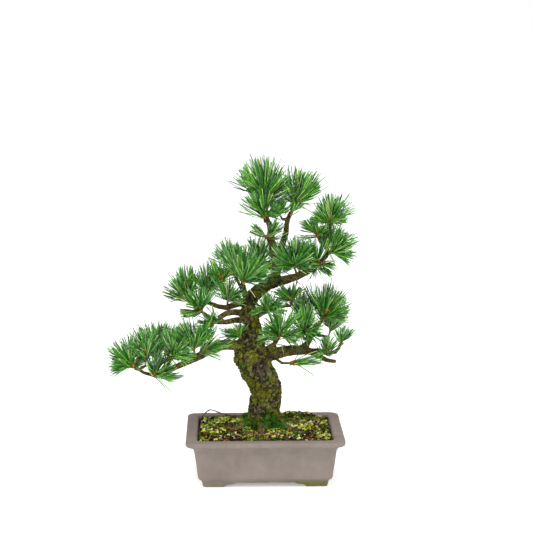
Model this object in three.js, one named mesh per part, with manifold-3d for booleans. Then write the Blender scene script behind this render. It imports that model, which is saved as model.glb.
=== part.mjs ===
// A white pine bonsai in an unglazed rectangular pot.
//
// Millimetres, +Z up, X along the pot's long side, Y from the tree's front (-Y) to its back (+Y).
// Everything is laid out from the centre of the pot's footprint on the table. The last lines move
// the whole group so that the origin is the middle of the bottom of its bounding box.

import * as THREE from 'three';
import { ConvexGeometry } from 'three/addons/geometries/ConvexGeometry.js';
import { mergeVertices } from 'three/addons/utils/BufferGeometryUtils.js';
import Module from 'manifold-3d';

const wasm = await Module();
wasm.setup();

// ---------- driving dimensions: pot ----------

const RIM_LENGTH = 200; // outside of the rim, along X
const RIM_DEPTH = 151; // outside of the rim, along Y
const POT_HEIGHT = 63;
const RIM_BAND = 14; // width of the flat top of the rim
const RIM_CORNER = 11; // corner radius of the rim seen from above
const LIP_HEIGHT = 6.5; // height of the rim's upright outer edge
const LIP_OVERHANG = 11; // how far the rim stands out over the wall just below it
const WALL_LEAN = 3.5; // how far the wall leans in from under the lip to the foot band
const FOOT_STEP = 5; // how far the foot band is set in from the wall
const FOOT_BAND = 9; // height of the band that the feet are cut from
const FOOT_GAP = 5.5; // height of the arches between the feet
const FOOT_LENGTH = 27; // length of each foot along the pot's front and back
const SIDE_FOOT_SHARE = 0.5; // part of half the foot band that each foot takes along the pot's ends
const FOOT_SLOPE = 15; // length of the slope where a foot runs out into the arch
const FLOOR_THICKNESS = 7;
const WALL_THICKNESS = 7;
const FLOOR_FILLET = 2; // where the inside walls meet the floor
const DRAIN_DIAMETER = 22;
const DRAIN_SPACING = 84; // between the centres of the two drain holes
const CORNER_STEPS = 4; // facets in each rounded corner
const COVE_STEPS = 4; // facets in the hollow under the lip
const HOLE_SIDES = 20; // facets round each drain hole
const CORNER_LEAST = 3; // smallest radius of any corner of the pot, inside or out
const CORNER_SHRINK = 0.35; // how much a corner's radius shrinks for each millimetre of inset
const LIP_UNDERSIDE = 2.6; // where the hollow under the lip meets the lip's edge, in from the rim
const LIP_BEVEL = 0.8;
const BAND_LEAN = 2; // how far the foot band leans in down to the table
const BAND_SHOULDER = 9; // height over which the wall swings in to the foot band
const FOOT_WIDTH = 11; // thickness of the L of each foot
const EDGE = 1; // rounding of the rim's edges

// ---------- driving dimensions: drain screens and clips ----------

const SCREEN_SIZE = 34;
const SCREEN_THICKNESS = 1.2;
const SCREEN_PITCH = 8; // between the centres of neighbouring openings
const SCREEN_OPENING = 6;
const CLIP_WIRE = 1.6; // diameter
const CLIP_ARM = 11; // length of each arm under the pot
const CLIP_STEPS = 30; // straight pieces along a clip
const WIRE_SIDES = 6; // facets round any wire or dry root

// ---------- driving dimensions: soil, moss and dry roots ----------

const SOIL_BELOW_RIM = 3;
const SOIL_MOUND = 8; // how much higher the soil stands at the trunk than at the rim
const DRY_ROOT_WIRE = 1.7; // diameter

// ---------- driving dimensions: shoots and needle brushes ----------

const STEM_RADIUS = 1.6; // young stem at the foot of a shoot
const HEAD_RADIUS = 3; // head of the young stem, that the bundles of needles leave from
const BUNDLE_RADIUS = 1.5; // half width of a needle bundle near its end
const BUNDLE_POINT = 4; // length of the point at the end of a bundle
const TWIG_TIP_RADIUS = 1.7;
const TWIG_BASE_RADIUS = 2.5;

// ---------- clearances ----------

const GAP = 0.3; // between pieces that touch on the real object
const NEEDLE_GAP = 0.5; // kept free round every needle bundle
const CLIP_ROOM = 1; // free height in the soil over a screen clip

// ---------- small helpers ----------

const vec = (x, y, z) => new THREE.Vector3(x, y, z);
const vectors = (rows) => rows.map(([x, y, z]) => vec(x, y, z));

// A repeatable stream of numbers from 0 to 1.
function numberStream(seed) {
  let state = seed >>> 0;
  return () => {
    state = (state + 0x6d2b79f5) >>> 0;
    let mixed = Math.imul(state ^ (state >>> 15), state | 1);
    mixed ^= mixed + Math.imul(mixed ^ (mixed >>> 7), mixed | 61);
    return ((mixed ^ (mixed >>> 14)) >>> 0) / 4294967296;
  };
}

// Joins rings of equal point counts into one closed skin, with a fan over the first and last ring.
// The last fan meets at tip, where one is given, and otherwise in the middle of its ring.
function loft(rings, tip = null) {
  const sides = rings[0].length;
  const positions = [];
  const indices = [];
  for (const ring of rings) {
    for (const point of ring) {
      positions.push(point.x, point.y, point.z);
    }
  }
  for (let ring = 0; ring + 1 < rings.length; ring += 1) {
    for (let side = 0; side < sides; side += 1) {
      const next = (side + 1) % sides;
      const low = ring * sides;
      const high = low + sides;
      indices.push(low + side, low + next, high + next);
      indices.push(low + side, high + next, high + side);
    }
  }
  for (const [first, isTop] of [[0, false], [(rings.length - 1) * sides, true]]) {
    const middle = positions.length / 3;
    const ring = rings[isTop ? rings.length - 1 : 0];
    const average = ring.reduce((sum, point) => sum.add(point), vec(0, 0, 0)).divideScalar(sides);
    const centre = isTop && tip ? tip : average;
    positions.push(centre.x, centre.y, centre.z);
    for (let side = 0; side < sides; side += 1) {
      const next = (side + 1) % sides;
      if (isTop) {
        indices.push(first + side, first + next, middle);
      } else {
        indices.push(first + next, first + side, middle);
      }
    }
  }
  const geometry = new THREE.BufferGeometry();
  geometry.setAttribute('position', new THREE.Float32BufferAttribute(positions, 3));
  geometry.setIndex(indices);
  return geometry;
}

// A closed geometry as a solid that can be joined and cut.
function solid(geometry) {
  const bare = geometry.clone();
  bare.deleteAttribute('normal');
  bare.deleteAttribute('uv');
  const merged = mergeVertices(bare, 1e-4);
  return new wasm.Manifold(new wasm.Mesh({
    numProp: 3,
    vertProperties: Float32Array.from(merged.attributes.position.array),
    triVerts: Uint32Array.from(merged.index.array),
  }));
}

// A solid back as a geometry.
function geometryOf(manifold) {
  const mesh = manifold.getMesh();
  const geometry = new THREE.BufferGeometry();
  geometry.setAttribute('position', new THREE.Float32BufferAttribute(mesh.vertProperties, 3));
  geometry.setIndex(Array.from(mesh.triVerts));
  geometry.computeVertexNormals();
  return geometry;
}

const joinAll = (solids) => solids.reduce((sum, next) => sum.add(next));
const cutAll = (body, cutters) => cutters.reduce((left, cutter) => left.subtract(cutter), body);

function movedTo(geometry, x, y, z) {
  geometry.translate(x, y, z);
  return geometry;
}

// ---------- materials ----------

const finish = (color, roughness, metalness = 0) => (
  () => new THREE.MeshStandardMaterial({ color, roughness, metalness })
);
const clay = finish(0x948b80, 0.9);
const screenPlastic = finish(0x23262a, 0.6);
const clipWire = finish(0x8a8178, 0.4, 0.9);
const soilMix = finish(0x3b2a1b, 1.0);
const mossGreen = finish(0x4f7a1c, 1.0);
const dryRoot = finish(0x6b4632, 0.9);
const bark = finish(0x5f5a34, 1.0);
const needleGreen = finish(0x3c8a32, 0.6);

const object = new THREE.Group();

function addPiece(name, geometry, material) {
  const mesh = new THREE.Mesh(geometry, material());
  mesh.name = name;
  object.add(mesh);
}

// ---------- pot ----------

// A rectangle with round corners at height z, set in from the rim's outline.
function rimOutline(inset, z, corner = RIM_CORNER) {
  const radius = Math.max(corner - inset * CORNER_SHRINK, CORNER_LEAST);
  const halfLength = RIM_LENGTH / 2 - inset - radius;
  const halfDepth = RIM_DEPTH / 2 - inset - radius;
  const ring = [];
  const centres = [[1, 1], [-1, 1], [-1, -1], [1, -1]];
  centres.forEach(([signX, signY], quarter) => {
    for (let step = 0; step <= CORNER_STEPS; step += 1) {
      const angle = ((quarter + step / CORNER_STEPS) * Math.PI) / 2;
      const x = signX * halfLength + radius * Math.cos(angle);
      const y = signY * halfDepth + radius * Math.sin(angle);
      ring.push(vec(x, y, z));
    }
  });
  return ring;
}

const lipBottom = POT_HEIGHT - LIP_HEIGHT;
const coveHeight = LIP_OVERHANG; // the hollow under the lip is a quarter round
const wallTopInset = LIP_OVERHANG;
const wallFootInset = LIP_OVERHANG + WALL_LEAN;
const bandInset = wallFootInset + FOOT_STEP;
const bandBottomInset = bandInset + BAND_LEAN;
const floorTop = FOOT_GAP + FLOOR_THICKNESS;
const innerFloorInset = wallFootInset + WALL_THICKNESS;

// Half way down, the inside stays a wall's thickness behind the outside.
function innerInset(z) {
  const coveEnd = lipBottom - coveHeight;
  if (z <= coveEnd) {
    const down = (coveEnd - z) / (coveEnd - floorTop);
    return THREE.MathUtils.lerp(wallTopInset + WALL_THICKNESS, innerFloorInset, down);
  }
  const up = (z - coveEnd) / (POT_HEIGHT - coveEnd);
  return THREE.MathUtils.lerp(wallTopInset + WALL_THICKNESS, RIM_BAND, up);
}

// The S curve by which the wall swings in to the foot band: shares of the step and of the height.
const SHOULDER_CURVE = [[1, 0], [0.45, 0.13], [0.12, 0.45], [0, 1]];

function potOutside() {
  const rings = [];
  rings.push(rimOutline(bandBottomInset, 0));
  for (const [stepShare, heightShare] of SHOULDER_CURVE) {
    const inset = wallFootInset + FOOT_STEP * stepShare;
    rings.push(rimOutline(inset, FOOT_BAND + BAND_SHOULDER * heightShare));
  }
  for (let step = 0; step <= COVE_STEPS; step += 1) {
    const angle = ((step / COVE_STEPS) * Math.PI) / 2;
    const inset = wallTopInset - (wallTopInset - LIP_UNDERSIDE) * (1 - Math.cos(angle));
    rings.push(rimOutline(inset, lipBottom - coveHeight * (1 - Math.sin(angle)) - LIP_BEVEL));
  }
  rings.push(rimOutline(LIP_BEVEL, lipBottom));
  rings.push(rimOutline(0, lipBottom + 2 * LIP_BEVEL));
  rings.push(rimOutline(0, POT_HEIGHT - EDGE));
  rings.push(rimOutline(EDGE, POT_HEIGHT));
  return solid(loft(rings));
}

function potInside() {
  const rings = [];
  rings.push(rimOutline(innerFloorInset + FLOOR_FILLET, floorTop));
  rings.push(rimOutline(innerInset(floorTop + FLOOR_FILLET), floorTop + FLOOR_FILLET));
  rings.push(rimOutline(wallTopInset + WALL_THICKNESS, lipBottom - coveHeight));
  rings.push(rimOutline(innerInset(POT_HEIGHT - EDGE), POT_HEIGHT - EDGE));
  rings.push(rimOutline(RIM_BAND - EDGE, POT_HEIGHT));
  rings.push(rimOutline(RIM_BAND - EDGE, POT_HEIGHT + EDGE));
  return solid(loft(rings));
}

// The cloud-shaped slope at the end of a foot: shares of its length and of the arch's height.
const CLOUD_CURVE = [
  [0, 0], [0.06, 0.26], [0.17, 0.45], [0.31, 0.56], [0.45, 0.6], [0.64, 0.65], [0.82, 0.79], [1, 1],
];

// The arch between two feet, as a cutter that runs right through under the pot.
function footArch(sideLength, throughLength, footLength) {
  const footEdge = sideLength / 2 - bandBottomInset - footLength;
  const slopeLength = (footLength / FOOT_LENGTH) * FOOT_SLOPE;
  const slope = CLOUD_CURVE.map(([along, up]) => [footEdge - slopeLength * along, FOOT_GAP * up]);
  const otherSlope = slope.map(([x, height]) => [-x, height]).reverse();
  const corners = [[-footEdge, -EDGE], [footEdge, -EDGE], ...slope, ...otherSlope];
  const arch = new THREE.Shape(corners.map(([x, height]) => new THREE.Vector2(x, height)));
  const geometry = new THREE.ExtrudeGeometry(arch, { depth: throughLength, bevelEnabled: false });
  geometry.translate(0, 0, -throughLength / 2);
  geometry.rotateX(Math.PI / 2);
  return geometry;
}

// The hollow between the four feet, so that each foot is an L and not a block.
function footHollow() {
  const inset = bandBottomInset + FOOT_WIDTH;
  return solid(loft([rimOutline(inset, -EDGE), rimOutline(inset + EDGE, FOOT_GAP)]));
}

function drainHole(x) {
  const radius = DRAIN_DIAMETER / 2;
  const hole = new THREE.CylinderGeometry(radius, radius, FLOOR_THICKNESS * 2, HOLE_SIDES);
  hole.rotateX(Math.PI / 2);
  return solid(movedTo(hole, x, 0, FOOT_GAP + FLOOR_THICKNESS / 2));
}

const drainPlaces = [['left', -DRAIN_SPACING / 2], ['right', DRAIN_SPACING / 2]];

function pot() {
  const sideFootLength = (RIM_DEPTH / 2 - bandBottomInset) * SIDE_FOOT_SHARE;
  const sideArch = footArch(RIM_DEPTH, RIM_LENGTH, sideFootLength);
  sideArch.rotateZ(Math.PI / 2);
  const frontArch = footArch(RIM_LENGTH, RIM_DEPTH, FOOT_LENGTH);
  const cutters = [potInside(), footHollow(), solid(frontArch), solid(sideArch)];
  for (const [, x] of drainPlaces) {
    cutters.push(drainHole(x));
  }
  return geometryOf(cutAll(potOutside(), cutters));
}

addPiece('pot', pot(), clay);

// ---------- drain screens and their clips ----------

const screenBottom = floorTop + GAP;
const screenTop = screenBottom + SCREEN_THICKNESS;

function drainScreen(x) {
  const plate = new THREE.BoxGeometry(SCREEN_SIZE, SCREEN_SIZE, SCREEN_THICKNESS);
  const openings = Math.floor((SCREEN_SIZE - SCREEN_OPENING) / SCREEN_PITCH / 2);
  const holes = [];
  for (let column = -openings; column <= openings; column += 1) {
    for (let row = -openings; row <= openings; row += 1) {
      const hole = new THREE.BoxGeometry(SCREEN_OPENING, SCREEN_OPENING, SCREEN_THICKNESS * 2);
      holes.push(solid(movedTo(hole, column * SCREEN_PITCH, row * SCREEN_PITCH, 0)));
    }
  }
  const geometry = geometryOf(cutAll(solid(plate), holes));
  return movedTo(geometry, x, 0, screenBottom + SCREEN_THICKNESS / 2);
}

// A round wire of even thickness along a curve.
function wire(curve, diameter, steps) {
  const corners = Array.from({ length: WIRE_SIDES }, (_, side) => {
    const angle = (side / WIRE_SIDES) * Math.PI * 2;
    return new THREE.Vector2(Math.cos(angle), Math.sin(angle)).multiplyScalar(diameter / 2);
  });
  const section = new THREE.Shape(corners);
  return new THREE.ExtrudeGeometry(section, { steps, extrudePath: curve, bevelEnabled: false });
}

// The clip lies over the screen, goes down through two of its openings and the drain hole,
// and its arms bend out under the pot.
function screenClip(x) {
  const leg = SCREEN_PITCH;
  const bend = CLIP_WIRE;
  const over = screenTop + GAP + CLIP_WIRE / 2;
  const under = FOOT_GAP - GAP - CLIP_WIRE / 2;
  const half = [
    [leg - bend, over], [leg, over - bend], [leg, under + bend], [leg + bend, under],
    [leg + CLIP_ARM, under],
  ];
  const otherHalf = half.map(([away, height]) => [-away, height]).reverse();
  const points = [...otherHalf, ...half].map(([away, height]) => vec(x + away, 0, height));
  return wire(new THREE.CatmullRomCurve3(points, false, 'centripetal'), CLIP_WIRE, CLIP_STEPS);
}

for (const [side, x] of drainPlaces) {
  addPiece(`drain_screen_${side}`, drainScreen(x), screenPlastic);
  addPiece(`screen_clip_${side}`, screenClip(x), clipWire);
}

// ---------- places on and over the soil ----------

const soilEdge = POT_HEIGHT - SOIL_BELOW_RIM; // height of the soil along the rim
const soilHalfLength = RIM_LENGTH / 2 - innerInset(soilEdge) - GAP;
const soilHalfDepth = RIM_DEPTH / 2 - innerInset(soilEdge) - GAP;

// Height of the soil at a share of its half length and half depth from the middle, without its bumps.
function soilTop(shareX, shareY) {
  const inward = Math.max(0, 1 - Math.max(Math.abs(shareX), Math.abs(shareY)));
  return soilEdge + SOIL_MOUND * Math.sin((inward * Math.PI) / 2);
}

// Points of the tree are given in millimetres over the top of the soil's mound.
const moundTop = soilEdge + SOIL_MOUND;
const overSoil = (rows) => rows.map(([x, y, height, ...rest]) => [x, y, moundTop + height, ...rest]);

// Points in and on the soil are given as shares of its half length and half depth, and a height.
const acrossSoil = (rows) => overSoil(rows.map(([shareX, shareY, ...rest]) => [
  shareX * soilHalfLength, shareY * soilHalfDepth, ...rest,
]));

// ---------- wood: roots, trunk, limbs and twigs, grown as one piece ----------

// Each row is one point of a limb's centre line with the limb's radius there: x, y, height, radius.
const TRUNK = overSoil([
  [0, 8, -24, 16], [0, 7, -10, 24], [0, 6, 1, 23.5], [0, 5, 14, 20.5], [2, 4, 30, 20], [3, 2, 42, 20.4],
  [0, 0, 54, 18.8], [-5, -2, 64, 19.6], [-10, -4, 74, 21.6], [-15, -5, 85, 21.8], [-18, -4, 98, 19.6],
  [-18, -2, 109, 16.6], [-15, 2, 122, 12.8], [-16, 5, 133, 11], [-19, 8, 143, 10.4], [-20, 11, 152, 9.6],
  [-15, 15, 163, 8.8], [-5, 19, 172, 8.5], [7, 22, 179, 8], [15, 23, 188, 7.2],
]);
const LIMBS = [
  // the two leaders of the crown
  [[13, 23, 184, 7], [17, 22, 199, 6.2], [14, 20, 215, 5.6], [10, 16, 232, 5], [8, 12, 252, 4.2],
    [3, 8, 266, 2.8]],
  [[15, 21, 210, 5.2], [22, 19, 227, 4.4], [27, 17, 241, 4], [29, 16, 252, 3.6], [29, 14, 261, 3.2],
    [34, 13, 272, 2.4], [39, 13, 279, 2]],
  // the upper right limb
  [[9, 22, 179, 7.4], [24, 18, 183, 6.2], [34, 14, 187, 5.2], [45, 10, 191, 4.4], [57, 6, 198, 3.8],
    [69, 3, 207, 3.2], [78, 2, 216, 2.6], [82, 1, 222, 2]],
  [[78, 2, 215, 2.5], [80, 6, 228, 2.3], [83, 7, 242, 2.1], [84, 6, 258, 1.8]],
  // the low left limb and its two ends
  [[-18, -5, 98, 11], [-34, -12, 105, 7.4], [-48, -18, 108, 6.6], [-62, -24, 108, 6.3],
    [-73, -29, 103, 5.8], [-83, -34, 96, 5.2], [-95, -38, 92, 4.4], [-109, -42, 86, 3.7],
    [-123, -46, 81, 3.1], [-134, -53, 76, 2.2]],
  [[-126, -47, 80, 2.8], [-141, -50, 76, 2.4], [-153, -51, 81, 2.1], [-163, -50, 88, 1.8]],
  [[-86, -35, 95, 4.4], [-100, -28, 93, 3.4], [-112, -18, 91, 2.8], [-122, -9, 91, 2.2]],
  // the low right limb
  [[-6, -4, 90, 13], [10, 2, 90, 8.6], [19, 6, 92, 7.6], [36, 10, 94, 7.2], [49, 10, 94, 6.2],
    [59, 8, 93, 4.8], [71, 2, 87, 3.6], [82, -4, 83, 2.8], [91, -8, 83, 2.3]],
  [[44, 10, 94, 5.4], [57, 12, 103, 4], [61, 12, 113, 3.6], [68, 10, 125, 2.9], [74, 8, 133, 2.1]],
  [[58, 8, 93, 3.6], [72, 4, 95, 2.8], [85, -4, 92, 2.5], [93, -9, 97, 2.2], [96, -12, 105, 1.8]],
  // the three middle left limbs
  [[-18, 11, 152, 6.4], [-31, 16, 155, 4.5], [-40, 24, 150, 4.1], [-54, 32, 145, 3.6], [-65, 34, 150, 3],
    [-78, 30, 154, 2.6], [-94, 23, 157, 1.9]],
  [[-17, 7, 141, 6.4], [-31, 2, 145, 4.3], [-45, -6, 147, 3.7], [-58, -16, 142, 3.4]],
  [[-16, 4, 134, 6.4], [-34, -4, 137, 3.9], [-47, -12, 136, 3.4], [-58, -18, 137, 3.4], [-68, -21, 142, 3.2],
    [-78, -24, 151, 2.1]],
  // the thin twig that crosses to the right
  [[-12, 3, 139, 4], [-2, -4, 145, 2.6], [8, -6, 150, 2.3], [20, -2, 153, 2.1], [31, 3, 155, 1.9]],
  // the limb behind, that fills the back of the tree
  [[-18, 10, 152, 7], [-22, 28, 159, 5], [-25, 44, 164, 4], [-26, 58, 170, 3], [-26, 66, 177, 2.2]],
].map(overSoil);
// Each row is a share of the soil's half length, a share of its half depth, a height and a radius.
const ROOTS = [
  [[-0.09, -0.03, 8, 10], [-0.28, -0.2, 2, 7.5], [-0.45, -0.33, -5, 5], [-0.59, -0.45, -14, 3]],
  [[0.09, -0.07, 6, 10], [0.26, -0.23, 0, 7.5], [0.42, -0.36, -6, 5], [0.56, -0.46, -15, 3]],
  [[0, -0.13, 6, 9], [-0.04, -0.4, -1, 6.5], [-0.07, -0.6, -8, 4.5], [-0.09, -0.76, -16, 3]],
  [[0.14, 0.13, 6, 9], [0.35, 0.17, -1, 6.5], [0.54, 0.23, -8, 4.5], [0.66, 0.26, -16, 3]],
  [[0.02, 0.3, 6, 9], [0.09, 0.56, -1, 6.5], [0.16, 0.76, -8, 4.5], [0.21, 0.89, -16, 3]],
  [[-0.12, 0.26, 6, 9], [-0.31, 0.46, -1, 6.5], [-0.47, 0.6, -8, 4.5], [-0.59, 0.69, -16, 3]],
].map(acrossSoil);
// Burls and old branch scars that swell out of the trunk: x, y, height, radius.
const BURLS = overSoil([
  [-31, -10, 89, 9], [-20, -18, 72, 7], [-17, -6, 54, 6], [-30, 4, 80, 8], [12, -8, 36, 8.5],
  [15, 6, 44, 8.5], [-14, 4, 32, 6.5], [4, -14, 60, 9], [10, -6, 98, 7], [0, 20, 50, 10],
  [-8, 14, 82, 11], [-14, -12, 18, 7], [14, 14, 20, 8], [-5, -8, 110, 6],
]);

const LIMB_STEP = 12; // length of the straight pieces of a limb
const TRUNK_STEP = 9.6;
const LEAST_STEPS = 2;
const TRUNK_SIDES = 12;
const LIMB_SIDES = 6;
const TWIG_SIDES = 4;

const smoothLine = (points) => new THREE.CatmullRomCurve3(vectors(points), false, 'centripetal');

// The radius of a limb at a share of the way along its points.
function radiusAt(points, along) {
  const place = along * (points.length - 1);
  const before = Math.min(Math.floor(place), points.length - 2);
  return THREE.MathUtils.lerp(points[before][3], points[before + 1][3], place - before);
}

// A limb with the given cross section along a smooth line through its points.
function limb(points, sides, stepLength, extra = 0) {
  const curve = smoothLine(points);
  const steps = Math.max(LEAST_STEPS, Math.round(curve.getLength() / stepLength));
  const frames = curve.computeFrenetFrames(steps, false);
  const rings = [];
  for (let step = 0; step <= steps; step += 1) {
    const along = curve.getUtoTmapping(step / steps);
    const radius = radiusAt(points, along) + extra;
    const centre = curve.getPoint(along);
    const ring = [];
    for (let side = 0; side < sides; side += 1) {
      const angle = (side / sides) * Math.PI * 2;
      const point = centre.clone();
      point.addScaledVector(frames.normals[step], radius * Math.cos(angle));
      point.addScaledVector(frames.binormals[step], radius * Math.sin(angle));
      ring.push(point);
    }
    rings.push(ring);
  }
  return solid(loft(rings));
}

const BURL_STRETCH = 1.25; // burls are longer along the trunk than across it

function burl([x, y, z, radius]) {
  const ball = new THREE.IcosahedronGeometry(radius, 0);
  ball.scale(1, 1, BURL_STRETCH);
  return solid(movedTo(ball, x, y, z));
}

// The centre lines that twigs can start from, as short straight pieces with a radius.
function centreLine(points) {
  const curve = smoothLine(points);
  const steps = Math.max(LEAST_STEPS, Math.round(curve.getLength() / LIMB_STEP));
  const rods = [];
  for (let step = 0; step < steps; step += 1) {
    const along = curve.getUtoTmapping(step / steps);
    const to = curve.getPoint(curve.getUtoTmapping((step + 1) / steps));
    rods.push({ from: curve.getPoint(along), to, radius: radiusAt(points, along) });
  }
  return rods;
}

// ---------- shoots: where each stands, and its brushes of needles ----------

// A brush points along (x, y, z). stem is the length of young stem under it, reach is how far its
// needles go from the shoot's foot, spread is the half angle of its fan in degrees, and bundles
// is how many bundles of needles it has.
const BRUSH_STEM = 5;
const brush = (x, y, z, reach, spread, bundles, stem = BRUSH_STEM) => ({
  direction: vec(x, y, z).normalize(), reach, spread, bundles, stem,
});

const SHOOTS = {
  low_left: [
    { foot: [-165, -50, 90], brushes: [
      brush(-0.35, 0, 1, 42, 60, 15), brush(-1, -0.25, 0.05, 32, 30, 5), brush(0.7, -0.5, 0.5, 26, 42, 7),
    ] },
    { foot: [-136, -56, 77], brushes: [brush(0, -0.35, 1, 34, 80, 14), brush(1, -0.4, 0.2, 34, 24, 6)] },
    { foot: [-138, -22, 92], brushes: [brush(-0.1, 0.05, 1, 49, 56, 14)] },
    { foot: [-123, -5, 93], brushes: [brush(0.15, 0.1, 1, 46, 54, 13), brush(0.6, 0.6, 0.6, 34, 50, 8)] },
    { foot: [-89, -46, 110], brushes: [
      brush(-0.4, -0.25, 1, 40, 56, 14), brush(0.5, -0.2, 0.9, 36, 36, 7),
    ] },
    { foot: [-79, -44, 104], brushes: [
      brush(0.45, -0.25, 0.85, 36, 50, 9), brush(1, -0.3, 0.2, 30, 28, 4),
    ] },
    { foot: [-148, -64, 103], brushes: [brush(-0.2, -0.3, 1, 36, 62, 12)] },
    { foot: [-115, -66, 103], brushes: [
      brush(0.3, -0.3, 0.85, 34, 60, 12), brush(0.9, -0.3, 0.25, 30, 34, 6),
    ] },
    { foot: [-134, 12, 92], brushes: [brush(-0.1, 0.6, 0.75, 38, 62, 13)] },
  ],
  mid_left: [
    { foot: [-97, 22, 158], brushes: [
      brush(-0.65, -0.1, 0.8, 36, 48, 11), brush(-0.05, 0.1, 1, 46, 46, 12),
    ] },
    { foot: [-73, 26, 165], brushes: [brush(-0.1, -0.1, 1, 41, 55, 12), brush(0.1, 0.75, 0.7, 38, 50, 10)] },
    { foot: [-80, -24, 153], brushes: [brush(-0.15, -0.3, 1, 34, 60, 11), brush(-1, -0.45, 0, 28, 38, 7)] },
    { foot: [-65, -22, 135], brushes: [
      brush(-0.7, -0.6, -0.05, 28, 45, 7), brush(-0.45, -0.85, 0.35, 27, 42, 8),
      brush(0.15, -0.85, 0.55, 24, 40, 6),
    ] },
    { foot: [-46, 2, 161], brushes: [brush(-0.15, -0.3, 1, 34, 58, 11), brush(0.8, -0.5, 0.5, 31, 42, 8)] },
    { foot: [-28, -10, 188], brushes: [
      brush(-0.05, -0.25, 1, 46, 60, 17), brush(0.85, -0.3, 0.45, 40, 42, 9),
    ] },
    { foot: [-42, 34, 202], brushes: [brush(-0.3, 0.3, 0.85, 32, 56, 13)] },
    { foot: [-8, 42, 200], brushes: [brush(-0.1, 0.3, 1, 39, 60, 14), brush(0.8, -0.1, -0.2, 30, 45, 8)] },
    { foot: [-54, 6, 184], brushes: [brush(-0.3, -0.15, 0.95, 34, 58, 13)] },
  ],
  upper_right: [
    { foot: [37, -8, 207], brushes: [
      brush(-0.12, -0.3, 1, 42, 70, 18), brush(-0.9, -0.45, 0.2, 36, 32, 8),
      brush(0.9, -0.55, 0.15, 30, 32, 6),
    ] },
    { foot: [66, 0, 208], brushes: [brush(-0.3, -0.2, 1, 34, 52, 10), brush(0.55, -0.8, -0.15, 30, 38, 8)] },
    { foot: [84, 0, 223], brushes: [
      brush(0.6, -0.1, 0.8, 38, 48, 12), brush(0.85, -0.35, -0.15, 30, 36, 8),
    ] },
    { foot: [84, 6, 260], brushes: [
      brush(0, 0, 1, 38, 56, 14), brush(-0.75, -0.4, 0.35, 28, 38, 7), brush(0.75, -0.3, 0.3, 24, 38, 7),
    ] },
    { foot: [67, 8, 244], brushes: [brush(-0.55, 0, 0.75, 26, 50, 9), brush(0.5, -0.6, 0.6, 22, 40, 6)] },
    { foot: [78, 18, 228], brushes: [brush(0.2, 0.55, 0.8, 34, 60, 12)] },
    { foot: [47, 34, 200], brushes: [brush(0, 0.6, 0.75, 36, 62, 13)] },
  ],
  crown: [
    { foot: [0, -1, 269], brushes: [
      brush(-0.35, -0.3, 0.95, 40, 44, 12), brush(0.6, -0.5, 0.35, 24, 46, 7),
    ] },
    { foot: [1, 8, 287], brushes: [
      brush(-0.1, 0, 1, 58, 36, 14, 11), brush(0.5, 0.1, 0.95, 46, 46, 12, 7),
    ] },
    { foot: [-9, 8, 289], brushes: [brush(-0.16, 0.05, 1, 48, 40, 12)] },
    { foot: [4, 22, 278], brushes: [brush(0.05, 0.6, 0.8, 40, 60, 13)] },
    { foot: [40, 13, 282], brushes: [
      brush(-0.15, -0.1, 1, 51, 48, 13), brush(0.65, -0.1, 0.85, 47, 46, 13),
      brush(0.1, 0.8, 0.6, 40, 48, 10),
    ] },
    { foot: [20, 10, 270], brushes: [brush(-0.5, -0.1, 0.75, 20, 42, 6), brush(0.3, -0.4, 0.9, 22, 40, 6)] },
    { foot: [34, 8, 270], brushes: [brush(0.35, -0.3, 0.9, 22, 45, 6)] },
    { foot: [4, 6, 240], brushes: [brush(-0.75, -0.2, 0.6, 26, 28, 4), brush(0.55, -0.5, 0.85, 28, 40, 8)] },
  ],
  right: [
    { foot: [2, -12, 150], brushes: [
      brush(0.1, -0.4, 1, 26, 50, 8), brush(-0.75, -0.5, 0.25, 20, 40, 6),
      brush(0.85, -0.4, 0.35, 27, 40, 7),
    ] },
    { foot: [19, -30, 123], brushes: [
      brush(0.12, -0.35, 1, 40, 70, 18), brush(-0.9, -0.4, 0.15, 30, 36, 7),
      brush(0.85, -0.5, 0, 27, 40, 8),
    ] },
    { foot: [75, 8, 136], brushes: [brush(0.2, 0, 1, 46, 54, 16), brush(0.85, -0.1, 0.55, 38, 38, 9)] },
    { foot: [50, -12, 124], brushes: [
      brush(0, -0.2, 1, 34, 56, 12), brush(0.8, -0.5, 0.15, 27, 42, 8),
      brush(-0.35, -0.75, -0.4, 22, 42, 6),
    ] },
    { foot: [35, 4, 159], brushes: [brush(0.3, 0.1, 1, 25, 44, 7), brush(-0.75, 0, 0.65, 26, 42, 8)] },
    { foot: [97, -12, 107], brushes: [brush(0.3, -0.15, 0.95, 25, 48, 8)] },
    { foot: [79, -12, 95], brushes: [brush(0.05, -0.3, 1, 26, 60, 9)] },
    { foot: [32, -20, 84], brushes: [brush(0.9, -0.4, 0.14, 42, 20, 4)] },
    { foot: [47, 34, 131], brushes: [brush(0.1, 0.5, 0.85, 38, 62, 13)] },
    { foot: [86, 26, 117], brushes: [brush(0.1, 0.4, 0.85, 30, 56, 11)] },
    { foot: [14, 24, 100], brushes: [brush(-0.1, 0.5, 0.9, 26, 60, 9)] },
  ],
  trunk_left: [
    { foot: [-32, -16, 118], brushes: [
      brush(-0.05, -0.2, 1, 20, 45, 6), brush(-0.85, -0.3, 0.5, 26, 40, 5),
    ] },
  ],
  back: [
    { foot: [-26, 68, 181], brushes: [brush(0.2, 0.6, 0.8, 38, 62, 14), brush(-0.6, 0.4, 0.6, 34, 50, 9)] },
    { foot: [22, 60, 194], brushes: [brush(0.2, 0.55, 0.85, 36, 62, 13)] },
  ],
};

const shoots = [];
for (const [pad, list] of Object.entries(SHOOTS)) {
  list.forEach(({ foot, brushes }, index) => {
    const [place] = vectors(overSoil([foot]));
    shoots.push({ name: `needles_${pad}_${index + 1}`, foot: place, brushes });
  });
}

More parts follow.
